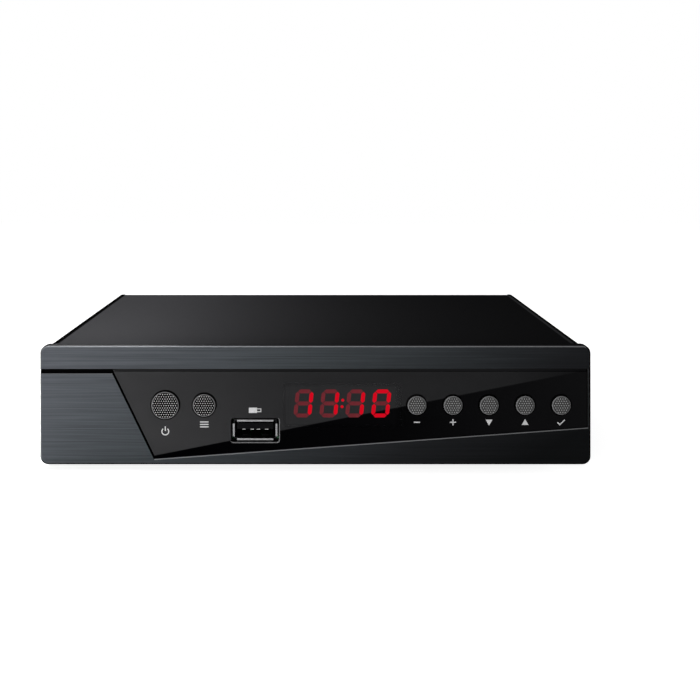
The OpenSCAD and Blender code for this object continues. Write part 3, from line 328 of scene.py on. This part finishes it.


# The front film, with its painted shade from upper left to lower right
film = brushed_film_painted_fade("brushed_film_painted_fade", ((81, 84, 89), (56, 60, 63), (25, 26, 28), (7, 8, 9)), 0.2, 0.03)
# Painted highlight: a pale band on the bevels that face up or to the left, as if they caught the light
painted_highlight_edge = brushed_film_painted_fade("painted_highlight_edge", ((90, 92, 95), (124, 126, 129), (114, 115, 117), (100, 101, 102)),
                           0.05, 0.1, depth=0.17 * mm)
moulded_black = flecked("moulded_black", (20, 20, 21), (28, 28, 29), 0.5, (0.5, 0.65), 0.004, specular=0.0)
# Painted shade: near black in the grooves, the window's recess and the bevels that face down or right
groove_painted_shade = flecked("groove_painted_shade", (3, 3, 3), (6, 6, 6), 0.5, (0.6, 0.75), specular=0.0)

# Painted reflection: the window is lighter above a line from its lower left corner to its upper right one
reflection_line_start = Vector((-49.1 * mm, 4.2 * mm))
reflection_line_end = Vector((80.1 * mm, 29.7 * mm))
reflection_line_blur = 0.12 * mm
haze = 0.06


def smoked_painted_reflection(name, gain=1.0, drop=0.0):
    """Smoked plastic with a painted reflection that makes it lighter above the line, which may lie a little
    lower, and painted shade that changes its tones along x. Gain scales its tones.
    """
    mat = new_finish(name, (4, 4, 5), 0.06, specular=0.0)
    line = (reflection_line_end - reflection_line_start).normalized()
    above = (-line.y, 0.0, line.x)
    height = reflection_line_start.x * above[0] + (reflection_line_start.y - drop) * above[2]
    upper = ranged(mat, along(mat, above), height - reflection_line_blur, height + reflection_line_blur, 0.0, 1.0)
    run = ranged(mat, along(mat, to_right), lens_lo.x, lens_hi.x, 0.0, 1.0)
    light = ramp(mat, run, (0.0, (54, 54, 55)), (0.4, (39, 39, 40)), (0.85, (33, 33, 34)),
                 (1.0, (19, 19, 20)))
    dark = ramp(mat, run, (0.0, (0, 0, 1)), (0.6, (6, 6, 7)), (1.0, (18, 18, 19)))
    level = spread(mat, grain(mat, (30, 10, 12)), (1 - haze) * gain, (1 + haze) * gain)
    set_colour(mat, scaled(mat, blend(mat, upper, dark, light), level))
    return mat


def give_light(mat, strength):
    """Adds light of the finish's own colour."""
    shader = shader_of(mat)
    link(mat, colour_source(mat), shader.inputs["Emission Color"])
    shader.inputs["Emission Strength"].default_value = strength
    return mat


# Over the display the smoke thins out towards the digits
clear_reach = Vector((2.4 * mm, 0, 0))
clear_lo = display_lo - clear_reach
clear_hi = display_hi + clear_reach
digit_margin = Vector((2.0 * mm, 0, 1.2 * mm))


def thin_over_digits(mat):
    """Lets the digits show through: full smoke at the edges of the clear field, none over them."""
    opening = None
    for axis, direction in ((0, to_right), (2, to_top)):
        place = along(mat, direction)
        rise = ranged(mat, place, clear_lo[axis], (digits_lo - digit_margin)[axis], 0.0, 1.0)
        fall = ranged(mat, place, (digits_hi + digit_margin)[axis], clear_hi[axis], 1.0, 0.0)
        field = times(mat, rise, fall)
        opening = field if opening is None else times(mat, opening, field)
    link(mat, ranged(mat, opening, 0.0, 1.0, 1.0, 0.0), shader_of(mat).inputs["Alpha"])
    return mat


smoked_lens = smoked_painted_reflection("smoked_lens")
smoked_display = thin_over_digits(smoked_painted_reflection("smoked_display"))
# Painted light: the display's face, its seat and the opening round it glow at the window's painted tones,
# filling the shade behind the window
face_gain = 0.1
face_light = 1.07
face_drop = 0.5 * mm
display_face_glow = give_light(smoked_painted_reflection("display_face_glow", face_gain, face_drop), face_light / face_gain)
clear_back = flecked("clear_back", (4, 4, 5), (6, 6, 7), 0.5, (0.1, 0.2), specular=0.0)
shader_of(clear_back).inputs["Alpha"].default_value = 0.0
# Painted highlight: pale grey on the parts of the USB opening's bevel that face up or to the left
lens_edge_highlight = flecked("lens_edge_highlight", (96, 96, 97), (112, 112, 113), 0.5, (0.2, 0.3), specular=0.2)

# Painted shade along the cover's folds, and a painted highlight beside the right one
left_fold = 2.7 * mm
right_fold = 2.0 * mm
right_light = 3.1 * mm
rear_fold = 1.6 * mm
fold_blur = 0.3 * mm


def case_paint_named(name):
    return flecked(name, (23, 23, 24), (28, 28, 29), 0.35, (0.6, 0.75), 0.02, specular=0.0)


def paint_fold_shade_and_highlight(mat):
    """Painted shade along the left, right and rear folds, and a painted highlight line beside the right one.
    """
    colour = colour_source(mat)
    across = along(mat, to_right)
    inward = along(mat, to_back)
    lines = ((across, cover_lo.x + left_fold, 1, 0.04),
             (across, cover_hi.x - right_light, -1, 3.8),
             (across, cover_hi.x - right_fold, -1, 0.1),
             (inward, cover_hi.y - rear_fold, -1, 0.1))
    for place, line, side, level in lines:
        colour = scaled(mat, colour, ranged(mat, place, line, line + side * fold_blur, level, 1.0))
    set_colour(mat, colour)


case_paint = case_paint_named("case_paint")
cover_top_fold_shade = case_paint_named("cover_top_fold_shade")
paint_fold_shade_and_highlight(cover_top_fold_shade)
foot_rubber = flecked("foot_rubber", (20, 20, 20), (30, 30, 30), 0.6, (0.8, 0.95), 0.03, specular=0.2)
black_screw = flecked("black_screw", (22, 22, 23), (34, 34, 35), 0.4, (0.3, 0.45), 0.004, specular=0.4)

# Keys and their print
key_cap = flecked("key_cap", (5, 5, 5), (10, 10, 10), 0.3, (0.5, 0.65), specular=0.02)
key_rim = flecked("key_rim", (106, 106, 107), (124, 124, 125), 0.4, (0.35, 0.5), specular=0.1)
key_stud = flecked("key_stud", (202, 202, 203), (218, 218, 219), 0.4, (0.4, 0.55), specular=0.1)
small_face = flecked("small_face", (60, 60, 60), (68, 68, 68), 0.3, (0.5, 0.65), specular=0.02)
small_stud = flecked("small_stud", (156, 156, 157), (170, 170, 171), 0.4, (0.4, 0.55), specular=0.1)
legend_ink = flecked("legend_ink", (176, 176, 177), (200, 200, 201), 0.25, (0.55, 0.7))

# Sockets
nickel = flecked("nickel", (164, 163, 160), (176, 175, 172), 1.5, (0.4, 0.48), metallic=1.0)
dull_nickel = flecked("dull_nickel", (104, 104, 105), (120, 120, 121), 0.8, (0.3, 0.42), metallic=1.0)
shaded_nickel = flecked("shaded_nickel", (20, 20, 21), (30, 30, 31), 0.8, (0.4, 0.55), metallic=1.0)
gold = flecked("gold", (196, 160, 88), (222, 186, 110), 0.6, (0.22, 0.36), metallic=1.0)
black_plastic = flecked("black_plastic", (20, 20, 21), (28, 28, 29), 0.5, (0.45, 0.6), 0.006, specular=0.3)
tongue_black = flecked("tongue_black", (15, 15, 16), (21, 21, 22), 0.5, (0.6, 0.75), specular=0.0)
contact_grey = flecked("contact_grey", (196, 196, 194), (214, 214, 212), 0.5, (0.4, 0.55), specular=0.2)
socket_insulator = flecked("socket_insulator", (206, 204, 196), (222, 220, 214), 0.5, (0.45, 0.6))
jack_yellow = flecked("jack_yellow", (214, 170, 16), (228, 188, 30), 0.6, (0.35, 0.5))
jack_white = flecked("jack_white", (212, 212, 208), (226, 226, 222), 0.6, (0.35, 0.5))
jack_red = flecked("jack_red", (164, 18, 20), (184, 28, 28), 0.6, (0.35, 0.5))

# Inside the case
zinc_screw = flecked("zinc_screw", (150, 152, 155), (182, 184, 188), 0.5, (0.28, 0.42), metallic=1.0)
board_dark = flecked("board_dark", (4, 13, 8), (6, 17, 11), 1.6, (0.35, 0.5), specular=0.1)
board_green = flecked("board_green", (16, 66, 38), (24, 84, 48), 1.6, (0.35, 0.5))
ribbon_grey = flecked("ribbon_grey", (148, 148, 150), (170, 170, 172), (0.6, 9, 9), (0.45, 0.6), 0.02)
header_cream = flecked("header_cream", (214, 206, 184), (228, 222, 204), 0.8, (0.45, 0.6))
chip_black = flecked("chip_black", (26, 26, 27), (36, 36, 37), 0.2, (0.6, 0.75), 0.004)
sink_aluminium = flecked("sink_aluminium", (150, 151, 153), (182, 183, 186), (0.3, 6, 0.3), (0.32, 0.46),
                         metallic=1.0)
capacitor_sleeve = flecked("capacitor_sleeve", (22, 24, 40), (32, 35, 56), 1.2, (0.3, 0.45))
coil_ferrite = flecked("coil_ferrite", (44, 43, 42), (62, 60, 58), 0.3, (0.6, 0.8), 0.01)
tinplate = flecked("tinplate", (168, 170, 172), (200, 202, 204), (5, 0.5, 0.5), (0.28, 0.42), metallic=1.0)


def glowing(name, colour, light, strength):
    """A display segment: tinted plastic that gives light of its own."""
    mat = flecked(name, colour, colour, 0.5, (0.4, 0.55), specular=0.0)
    shader = shader_of(mat)
    shader.inputs["Emission Color"].default_value = tone(*light)
    shader.inputs["Emission Strength"].default_value = strength
    return mat


lit_red = glowing("lit_red", (60, 4, 6), (218, 8, 32), 0.82)
# The unlit segments also glow faintly: painted light standing in for light falling on them behind the window
dim_red = glowing("dim_red", (74, 24, 28), (81, 31, 36), 0.88)


# Front panel: film on its face, a painted highlight on the bevels that face up or left, painted shade on
# those that face down or right and in the recesses and grooves

on_body, on_film, on_bevel, on_groove, on_display = range(5)
recess_depth = 2.1 * mm
recess_reach = 2.0 * mm
groove_depth = 1.2 * mm
groove_reach = 1.5 * mm
groove_end = 0.2 * mm
wall_reach = 0.4 * mm
bevel_depth = 0.62 * mm
opening_depth = 3.0 * mm
opening_margin = 1.0 * mm
display_middle = (display_lo + display_hi) / 2
display_half = (display_hi - display_lo) / 2


def faces_front(normal):
    return normal.y < -0.9


def in_recess(at, normal):
    """True in the window's recess and right of it."""
    return at.y < face_y + recess_depth and at.x > lens_lo.x - recess_reach


def in_groove(at, normal):
    return (at.y < face_y + groove_depth and panel_lo.x + groove_end < at.x < 0 and
            abs(at.z - lens_hi.z) < groove_reach)


def on_outer_wall(at, normal):
    past_wall = max(abs(at.x) - panel_hi.x, at.z - panel_hi.z, panel_lo.z - at.z)
    return abs(normal.y) < 0.2 and past_wall > -wall_reach


def on_lit_bevel(at, normal):
    """True on the bevels that face up or to the left, which carry the painted highlight."""
    return (at.y < face_y + bevel_depth and -0.97 < normal.y < -0.25 and
            (normal.z > 0.1 or normal.x < -0.3))


# Bevels that face down or to the right, which get painted shade
def on_shaded_bevel(at, normal):
    return at.y < face_y + bevel_depth and normal.y > -0.97 and (normal.z < -0.25 or normal.x > 0.3)


def on_face(at, normal):
    return at.y < face_y + skin and faces_front(normal)


def on_seat(at, normal):
    """True on the floor of the recess, behind the window."""
    return abs(at.y - lens_hi.y) < skin and faces_front(normal)


def round_display(at, normal):
    """True on the walls of the opening round the display."""
    return (lens_hi.y - skin < at.y < lens_hi.y + opening_depth and
            abs(at.x - display_middle.x) < display_half.x + opening_margin and
            abs(at.z - display_middle.z) < display_half.z + opening_margin)


panel = cast("front_panel", "panel")
roll_edges(panel, 0.1 * mm)
dress(panel, moulded_black, film, painted_highlight_edge, groove_painted_shade, display_face_glow)
dress_where(panel, on_groove, in_recess)
dress_where(panel, on_groove, in_groove)
dress_where(panel, on_body, on_outer_wall)
dress_where(panel, on_bevel, on_lit_bevel)
dress_where(panel, on_groove, on_shaded_bevel)
dress_where(panel, on_film, on_face)
# The seat and the walls round the display glow like the display's face: painted light
dress_where(panel, on_display, on_seat)
dress_where(panel, on_display, round_display)
stand_for(panel, "front_panel")


# Window: clear over the digits, with a bevel at its USB opening

on_clear, on_edge, on_back = 1, 2, 3
seat_clearance = 0.06 * mm
opening_reach = 1.2 * mm
opening_bevel = 0.28 * mm
opening_skin = 0.3 * mm


def at_opening(point):
    """True at the edge of the opening round the USB socket."""
    return (socket_lo.x - opening_reach < point.x < socket_hi.x + opening_reach and
            socket_lo.z - opening_reach < point.z < socket_hi.z + opening_reach)


def on_opening_bevel(at, normal):
    """True on those parts of the opening's bevel that face up or to the left."""
    return (at_opening(at) and at.y < lens_y + opening_skin and -0.98 < normal.y < -0.1 and
            (normal.z > 0.15 or normal.x < -0.15) and normal.x < 0.35 and normal.z > -0.35)


def over_display(at, normal):
    return (faces_front(normal) and clear_lo.x < at.x < clear_hi.x and
            clear_lo.z < at.z < clear_hi.z)


lens = cast("display_window", "lens")
for vertex in lens.data.vertices:
    if vertex.co.y > lens_hi.y - touch:
        vertex.co.y -= seat_clearance
open_mesh(lens)
for corner in (clear_lo, clear_hi):
    for direction in (to_right, to_top):
        bpy.ops.mesh.select_all(action="SELECT")
        bpy.ops.mesh.bisect(plane_co=corner, plane_no=direction)
close_mesh()
for edge in lens.data.edges:
    ends = [lens.data.vertices[i].co for i in edge.vertices]
    edge.select = all(at_opening(end) and end.y < lens_y + touch for end in ends)
edit(lens)
bpy.ops.mesh.bevel(offset=opening_bevel, segments=3)
close_mesh()
roll_edges(lens, 0.08 * mm, limit=50)
dress(lens, smoked_lens, smoked_display, lens_edge_highlight, clear_back)
dress_where(lens, on_edge, on_opening_bevel)
dress_where(lens, on_clear, over_display)
dress_where(lens, on_back, lambda at, normal: normal.y > 0.9)
stand_for(lens, "display_window")

# The display's block widens to its front, where it fills the opening in the panel
block = cast("display_block", "digit_block")
block_reach = 0.27 * mm
for vertex in block.data.vertices:
    if vertex.co.y < display_lo.y + touch:
        for axis in (0, 2):
            if vertex.co[axis] < display_lo[axis] + touch:
                vertex.co[axis] -= block_reach
            elif vertex.co[axis] > display_hi[axis] - touch:
                vertex.co[axis] += block_reach
pick(block)
bpy.ops.object.shade_smooth_by_angle(angle=math.radians(30))
dress(block, display_face_glow)
stand_for(block, "display_block")


# Keys: each cap is drawn in all round, and small studs on its face reach back to the front of its solid

on_rim, on_stud, on_front = 1, 2, 3
large_key_r = 3.0 * mm
cap_inset = 0.14 * mm
face_reach = 0.5 * mm
stud_margin = 0.1 * mm
stud_drop = 0.01 * mm
stud_h = cap_inset + stud_drop
stud_pitch = 0.72 * mm
stud_row = 0.68 * mm
stud_sides = 6
large_stud_r = 0.16 * mm
small_stud_r = 0.176 * mm
stud_top = 0.8


def stud_field(stud_r, radius):
    """A round field of studs in staggered rows, at the origin and facing the front."""
    bpy.ops.object.select_all(action="DESELECT")
    bpy.ops.mesh.primitive_cone_add(vertices=stud_sides, radius1=stud_r, radius2=stud_r * stud_top,
                                    depth=stud_h, end_fill_type="NGON", rotation=(math.pi / 2, 0, 0))
    field = bpy.context.object
    apply_place(field)
    stud_vertices = len(field.data.vertices)
    row_step = 2 * stud_row
    columns = math.ceil(2 * radius / stud_pitch) + 2
    rows = math.ceil(2 * radius / row_step) + 2
    repeats = ((columns, (stud_pitch, 0, 0)), (2, (stud_pitch / 2, 0, stud_row)), (rows, (0, 0, row_step)))
    for count, step in repeats:
        apply_modifier(field, "ARRAY", count=count, use_relative_offset=False, use_constant_offset=True,
                       constant_offset_displace=step)
    field.location = (-(columns - 1) / 2 * stud_pitch, 0, -(rows - 1) / 2 * row_step)
    apply_place(field)
    open_mesh(field)
    bpy.ops.mesh.select_all(action="DESELECT")
    close_mesh()
    points = field.data.vertices
    for first in range(0, len(points), stud_vertices):
        stud = points[first:first + stud_vertices]
        middle = sum((p.co for p in stud), Vector()) / stud_vertices
        if math.hypot(middle.x, middle.z) > radius:
            for p in stud:
                p.select = True
    edit(field)
    bpy.ops.mesh.delete(type="VERT")
    close_mesh()
    return field


for key in KEYS:
    cap = cast(f"{key}_key", f"{key}_cap")
    lo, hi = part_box(f"{key}_key")
    middle = (lo + hi) / 2
    front_y = lo.y
    face_r = max(math.hypot(v.co.x - middle.x, v.co.z - middle.z) for v in cap.data.vertices
                 if v.co.y < front_y + touch)
    open_mesh(cap)
    bpy.ops.mesh.select_mode(type="FACE")
    bpy.ops.mesh.inset(thickness=0.0, depth=-cap_inset)
    bpy.ops.mesh.select_mode(type="VERT")
    close_mesh()
    roll_edges(cap, 0.04 * mm)
    if face_r > large_key_r:
        stud_r, finishes = large_stud_r, (key_cap, key_rim, key_stud, key_cap)
    else:
        stud_r, finishes = small_stud_r, (key_cap, key_rim, small_stud, small_face)
    dress(cap, *finishes)
    dress_where(cap, on_rim, lambda at, normal: at.y < front_y + face_reach and -0.95 < normal.y < -0.3)
    dress_where(cap, on_front, lambda at, normal: at.y < front_y + face_reach and normal.y < -0.95)
    studs = stud_field(stud_r, face_r - stud_margin)
    dress(studs, *finishes, slot=on_stud)
    studs.location = (middle.x, front_y + stud_drop + stud_h / 2, middle.z)
    apply_place(studs)
    pick(cap, studs)
    bpy.ops.object.join()
    stand_for(cap, f"{key}_key", f"{key}_button")


# Case, feet and sockets keep their solids' shape, with their edges rolled by a width in mm
CASTS = {
    "top_cover": ("cover", case_paint, 0.12),
    "bottom_chassis": ("tray", case_paint, 0.12),
    "feet": ("rubber_feet", foot_rubber, 0.3),
    "cover_screws": ("case_screws", black_screw, 0.08),
    "usb_shell": ("usb_sleeve", dull_nickel, 0.05),
    "usb_tongue": ("usb_carrier", tongue_black, 0.08),
    "usb_contacts": ("usb_blades", contact_grey, 0.04),
    "hdmi_shell": ("hdmi_sleeve", nickel, 0.08),
    "hdmi_tongue": ("hdmi_carrier", black_plastic, 0.08),
    "av_block": ("jack_housing", black_plastic, 0.15),
    "av_sleeves": ("jack_sleeves", nickel, 0.08),
    "video_insert": ("video_collar", jack_yellow, 0.12),
    "left_audio_insert": ("left_audio_collar", jack_white, 0.12),
    "right_audio_insert": ("right_audio_collar", jack_red, 0.12),
    "dc_jack": ("dc_housing", black_plastic, 0.15),
    "dc_pin": ("dc_centre", nickel, 0.15),
    "aerial_in_sleeve": ("aerial_in_barrel", nickel, 0.12),
    "aerial_in_insulator": ("aerial_in_core", socket_insulator, 0.08),
    "aerial_in_contact": ("aerial_in_tube", gold, 0.06),
    "aerial_out_sleeve": ("aerial_out_barrel", nickel, 0.12),
    "aerial_out_insulator": ("aerial_out_core", socket_insulator, 0.08),
    "aerial_out_pin": ("aerial_out_tip", gold, 0.15),
}
fold_r = 1.6 * mm
lip_inset = 2.5 * mm
lip_reach = 2.0 * mm
lip_slack = 0.3 * mm
sleeve_lip = 0.5 * mm


def at_lip_end(point):
    """True at the two notches where the cover's rear lip starts to bend."""
    return (abs(abs(point.x) - cover_hi.x + lip_inset) < lip_slack and
            point.y > cover_hi.y - lip_reach and point.z > cover_hi.z - lip_reach)


for node, (name, finish, width) in CASTS.items():
    piece = cast(node, name)
    roll_edges(piece, width * mm, stays_sharp=at_lip_end)
    dress(piece, finish)
    stand_for(piece, node)

# The cover's top and folds take the finish with the painted fold shade and highlight
cover = bpy.data.objects["cover"]
dress(cover, case_paint, cover_top_fold_shade)
dress_where(cover, 1, lambda at, normal: normal.z > 0.02 and at.z > cover_hi.z - fold_r)

# The sleeve of the USB socket is bright at its lips, and painted shade darkens it inside
usb_sleeve = bpy.data.objects["usb_sleeve"]
dress(usb_sleeve, dull_nickel, shaded_nickel)
dress_where(usb_sleeve, 1, lambda at, normal: at.y > socket_lo.y + sleeve_lip)

# The inner pieces show their solids
PLAIN = {
    "board_screws": zinc_screw, "front_board_screws": zinc_screw, "key_switches": black_plastic,
    "front_board": board_dark, "main_board": board_green,
    "lit_segments": lit_red, "dim_segments": dim_red, "infrared_receiver": chip_black,
    "ribbon_cable": ribbon_grey, "ribbon_headers": header_cream, "main_chip": chip_black,
    "memory_chips": chip_black, "heat_sink": sink_aluminium, "capacitors": capacitor_sleeve,
    "coils": coil_ferrite, "crystal": tinplate, "tuner_can": tinplate, "tuner_lid": tinplate,
}
PLAIN.update({f"{key}_plunger": black_plastic for key in KEYS})
for node, finish in PLAIN.items():
    dress(nodes[node], finish)


# Legends, printed on the window under their keys

print_t = 0.03 * mm
legend_w = 0.32 * mm
legend_parts = []


def flat_bar(x, z, width, height, turn=0.0):
    """A printed bar, turned in the plane of the window."""
    bpy.ops.object.select_all(action="DESELECT")
    bpy.ops.mesh.primitive_plane_add(size=1, location=(x, lens_y, z), rotation=(math.pi / 2, turn, 0))
    bar = bpy.context.object
    bar.scale = (width, height, 1)
    apply_place(bar)
    legend_parts.append(bar)


def flat_triangle(x, z, size, turn):
    bpy.ops.object.select_all(action="DESELECT")
    bpy.ops.mesh.primitive_circle_add(vertices=3, radius=size / math.sqrt(3), fill_type="NGON",
                                      location=(x, lens_y, z), rotation=(math.pi / 2, turn, 0))
    triangle = bpy.context.object
    apply_place(triangle)
    legend_parts.append(triangle)


def flat_ring(x, z, radius, gap):
    """A printed ring that is open at its top over this angle."""
    bpy.ops.object.select_all(action="DESELECT")
    bpy.ops.mesh.primitive_circle_add(vertices=72, radius=radius, fill_type="NOTHING",
                                      rotation=(math.pi / 2, 0, 0))
    ring = bpy.context.object
    apply_place(ring)
    open_mesh(ring)
    bpy.ops.mesh.extrude_region_move()
    inner = 1 - legend_w / radius
    bpy.ops.transform.resize(value=(inner, 1, inner))
    bpy.ops.mesh.select_mode(type="FACE")
    bpy.ops.mesh.select_all(action="DESELECT")
    close_mesh()
    for face in ring.data.polygons:
        face.select = abs(math.atan2(face.center.x, face.center.z)) < gap / 2
    edit(ring)
    bpy.ops.mesh.delete(type="FACE")
    bpy.ops.mesh.select_mode(type="VERT")
    close_mesh()
    ring.location = (x, lens_y, z)
    apply_place(ring)
    legend_parts.append(ring)


def under_key(key, drop):
    """The middle of a key's legend, this far under the key's own."""
    lo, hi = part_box(f"{key}_key")
    middle = (lo + hi) / 2
    return middle.x, middle.z - drop


standby_drop = 7.95 * mm
menu_drop = 5.9 * mm
small_drop = 5.25 * mm

# Standby: a ring and a bar
x, z = under_key("standby", standby_drop)
flat_ring(x, z - 0.1 * mm, 1.2 * mm, math.radians(80))
flat_bar(x, z + 0.75 * mm, legend_w, 1.4 * mm)

# Menu: three bars
menu_step = 0.75 * mm
x, z = under_key("menu", menu_drop)
for step in (-1, 0, 1):
    flat_bar(x, z + step * menu_step, 2.6 * mm, legend_w)

# Volume: minus and plus
sign_w = 1.9 * mm
for key in ("volume_down", "volume_up"):
    x, z = under_key(key, small_drop)
    flat_bar(x, z, sign_w, legend_w)
half_stroke = (sign_w - legend_w) / 2
for side in (-1, 1):
    flat_bar(x, z + side * (legend_w + half_stroke) / 2, legend_w, half_stroke)

# Channel: triangles that point down and up
arrow_size = 2.1 * mm
arrow_shift = 0.2 * mm
x, z = under_key("channel_down", small_drop)
flat_triangle(x, z + arrow_shift, arrow_size, math.pi)
x, z = under_key("channel_up", small_drop)
flat_triangle(x, z - arrow_shift, arrow_size, 0.0)

# Confirm: a tick
x, z = under_key("confirm", small_drop)
tick_foot = Vector((x - 0.4 * mm, z - 0.75 * mm))
long_arm = 2.3 * mm
short_arm = 1.2 * mm
long_middle = tick_foot + Vector((1, 1)).normalized() * (long_arm - legend_w) / 2
short_middle = tick_foot + Vector((-1, 1)).normalized() * short_arm / 2
flat_bar(long_middle.x, long_middle.y, legend_w, long_arm, math.radians(45))
flat_bar(short_middle.x, short_middle.y, legend_w, short_arm - legend_w, math.radians(-45))

# A plain stick, body and plug, over the USB socket
stick_x = (socket_lo.x + socket_hi.x) / 2
stick_z = socket_hi.z + 3.0 * mm
stick_body = 2.5 * mm
stick_h = 1.6 * mm
stick_plug = 1.3 * mm
plug_h = 1.1 * mm
plug_line = 0.25 * mm
flat_bar(stick_x - stick_plug / 2, stick_z, stick_body, stick_h)
plug_x = stick_x + stick_body / 2
for side in (-1, 1):
    flat_bar(plug_x, stick_z + side * (plug_h - plug_line) / 2, stick_plug, plug_line)
flat_bar(plug_x + (stick_plug - plug_line) / 2, stick_z, plug_line, plug_h - 2 * plug_line)

pick(*legend_parts)
bpy.ops.object.join()
legends = bpy.context.object
legends.name = "legends"
apply_modifier(legends, "SOLIDIFY", thickness=print_t, offset=0)
dress(legends, legend_ink)
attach(legends, "receiver")


# Studio: pale floor, white surround, soft lamps and the camera

white = (1, 1, 1, 1)
ambient = 0.12
floor_size = 1.8
near_glow, far_glow = 0.81, 0.9
near_reach, far_reach = 0.2, 0.7


def seen_directly(owner):
    """1 for rays from the camera, off glossy faces or through clear ones, 0 for light on things."""
    path = add_node(owner, "ShaderNodeLightPath")
    total = path.outputs["Is Camera Ray"]
    for name in ("Is Glossy Ray", "Is Transmission Ray"):
        either = add_node(owner, "ShaderNodeMath", operation="MAXIMUM")
        link(owner, total, either.inputs[0])
        link(owner, path.outputs[name], either.inputs[1])
        total = either.outputs["Value"]
    return total


surround = bpy.data.worlds.new("surround")
surround.use_nodes = True
bpy.context.scene.world = surround
background = surround.node_tree.nodes["Background"]
background.inputs["Color"].default_value = white
surround_light = ranged(surround, seen_directly(surround), 0.0, 1.0, ambient, 1.0)
link(surround, surround_light, background.inputs["Strength"])

bpy.ops.object.select_all(action="DESELECT")
bpy.ops.mesh.primitive_plane_add(size=floor_size)
floor = bpy.context.object
floor.name = "floor"
pale = new_finish("pale_floor", (232, 232, 232), 0.9, specular=0.0)
shader_of(pale).inputs["Emission Color"].default_value = white
distance = add_node(pale, "ShaderNodeVectorMath", operation="LENGTH")
link(pale, place_on(pale), distance.inputs[0])
glow = ranged(pale, distance.outputs["Value"], near_reach, far_reach, near_glow, far_glow)
link(pale, times(pale, seen_directly(pale), glow), shader_of(pale).inputs["Emission Strength"])
dress(floor, pale)

# Each lamp's place, target, width, height and power
LAMPS = {
    "key_lamp": ((-0.35, -0.72, 0.09), (0, face_y, 0.02), 0.5, 0.16, 4.5),
    "left_lamp": ((-0.078, 0.021, 0.1), (-0.078, 0.021, 0.0), 0.05, 0.156, 0.36),
    "left_front_lamp": ((-0.078, -0.045, 0.09), (-0.078, -0.045, 0.0), 0.05, 0.024, 0.1),
    "right_lamp": ((0.55, 0.08, 0.06), (0.08, 0.0, 0.02), 0.3, 0.1, 2.2),
    "rear_lamp": ((-0.3, 0.6, 0.075), (0, 0.05, 0.02), 0.5, 0.14, 2.6),
}
for name, (place, target, width, height, power) in LAMPS.items():
    light = bpy.data.lights.new(name, "AREA")
    light.shape = "RECTANGLE"
    light.size = width
    light.size_y = height
    light.energy = power
    lamp = bpy.data.objects.new(name, light)
    bpy.context.collection.objects.link(lamp)
    lamp.location = place
    lamp.rotation_euler = (Vector(target) - Vector(place)).to_track_quat("-Z", "Y").to_euler()
    lamp.visible_camera = False

camera = bpy.data.objects.new("camera", bpy.data.cameras.new("camera"))
bpy.context.collection.objects.link(camera)
camera.location = (1.0 * mm, -329.5 * mm, 96.2 * mm)
camera.rotation_euler = (math.radians(90), 0, 0)
camera.data.lens = 46.03
camera.data.shift_x = 0.0448
camera.data.shift_y = -0.2799
camera.data.clip_start = 0.01
bpy.context.scene.camera = camera
bpy.context.scene.view_settings.view_transform = "Standard"
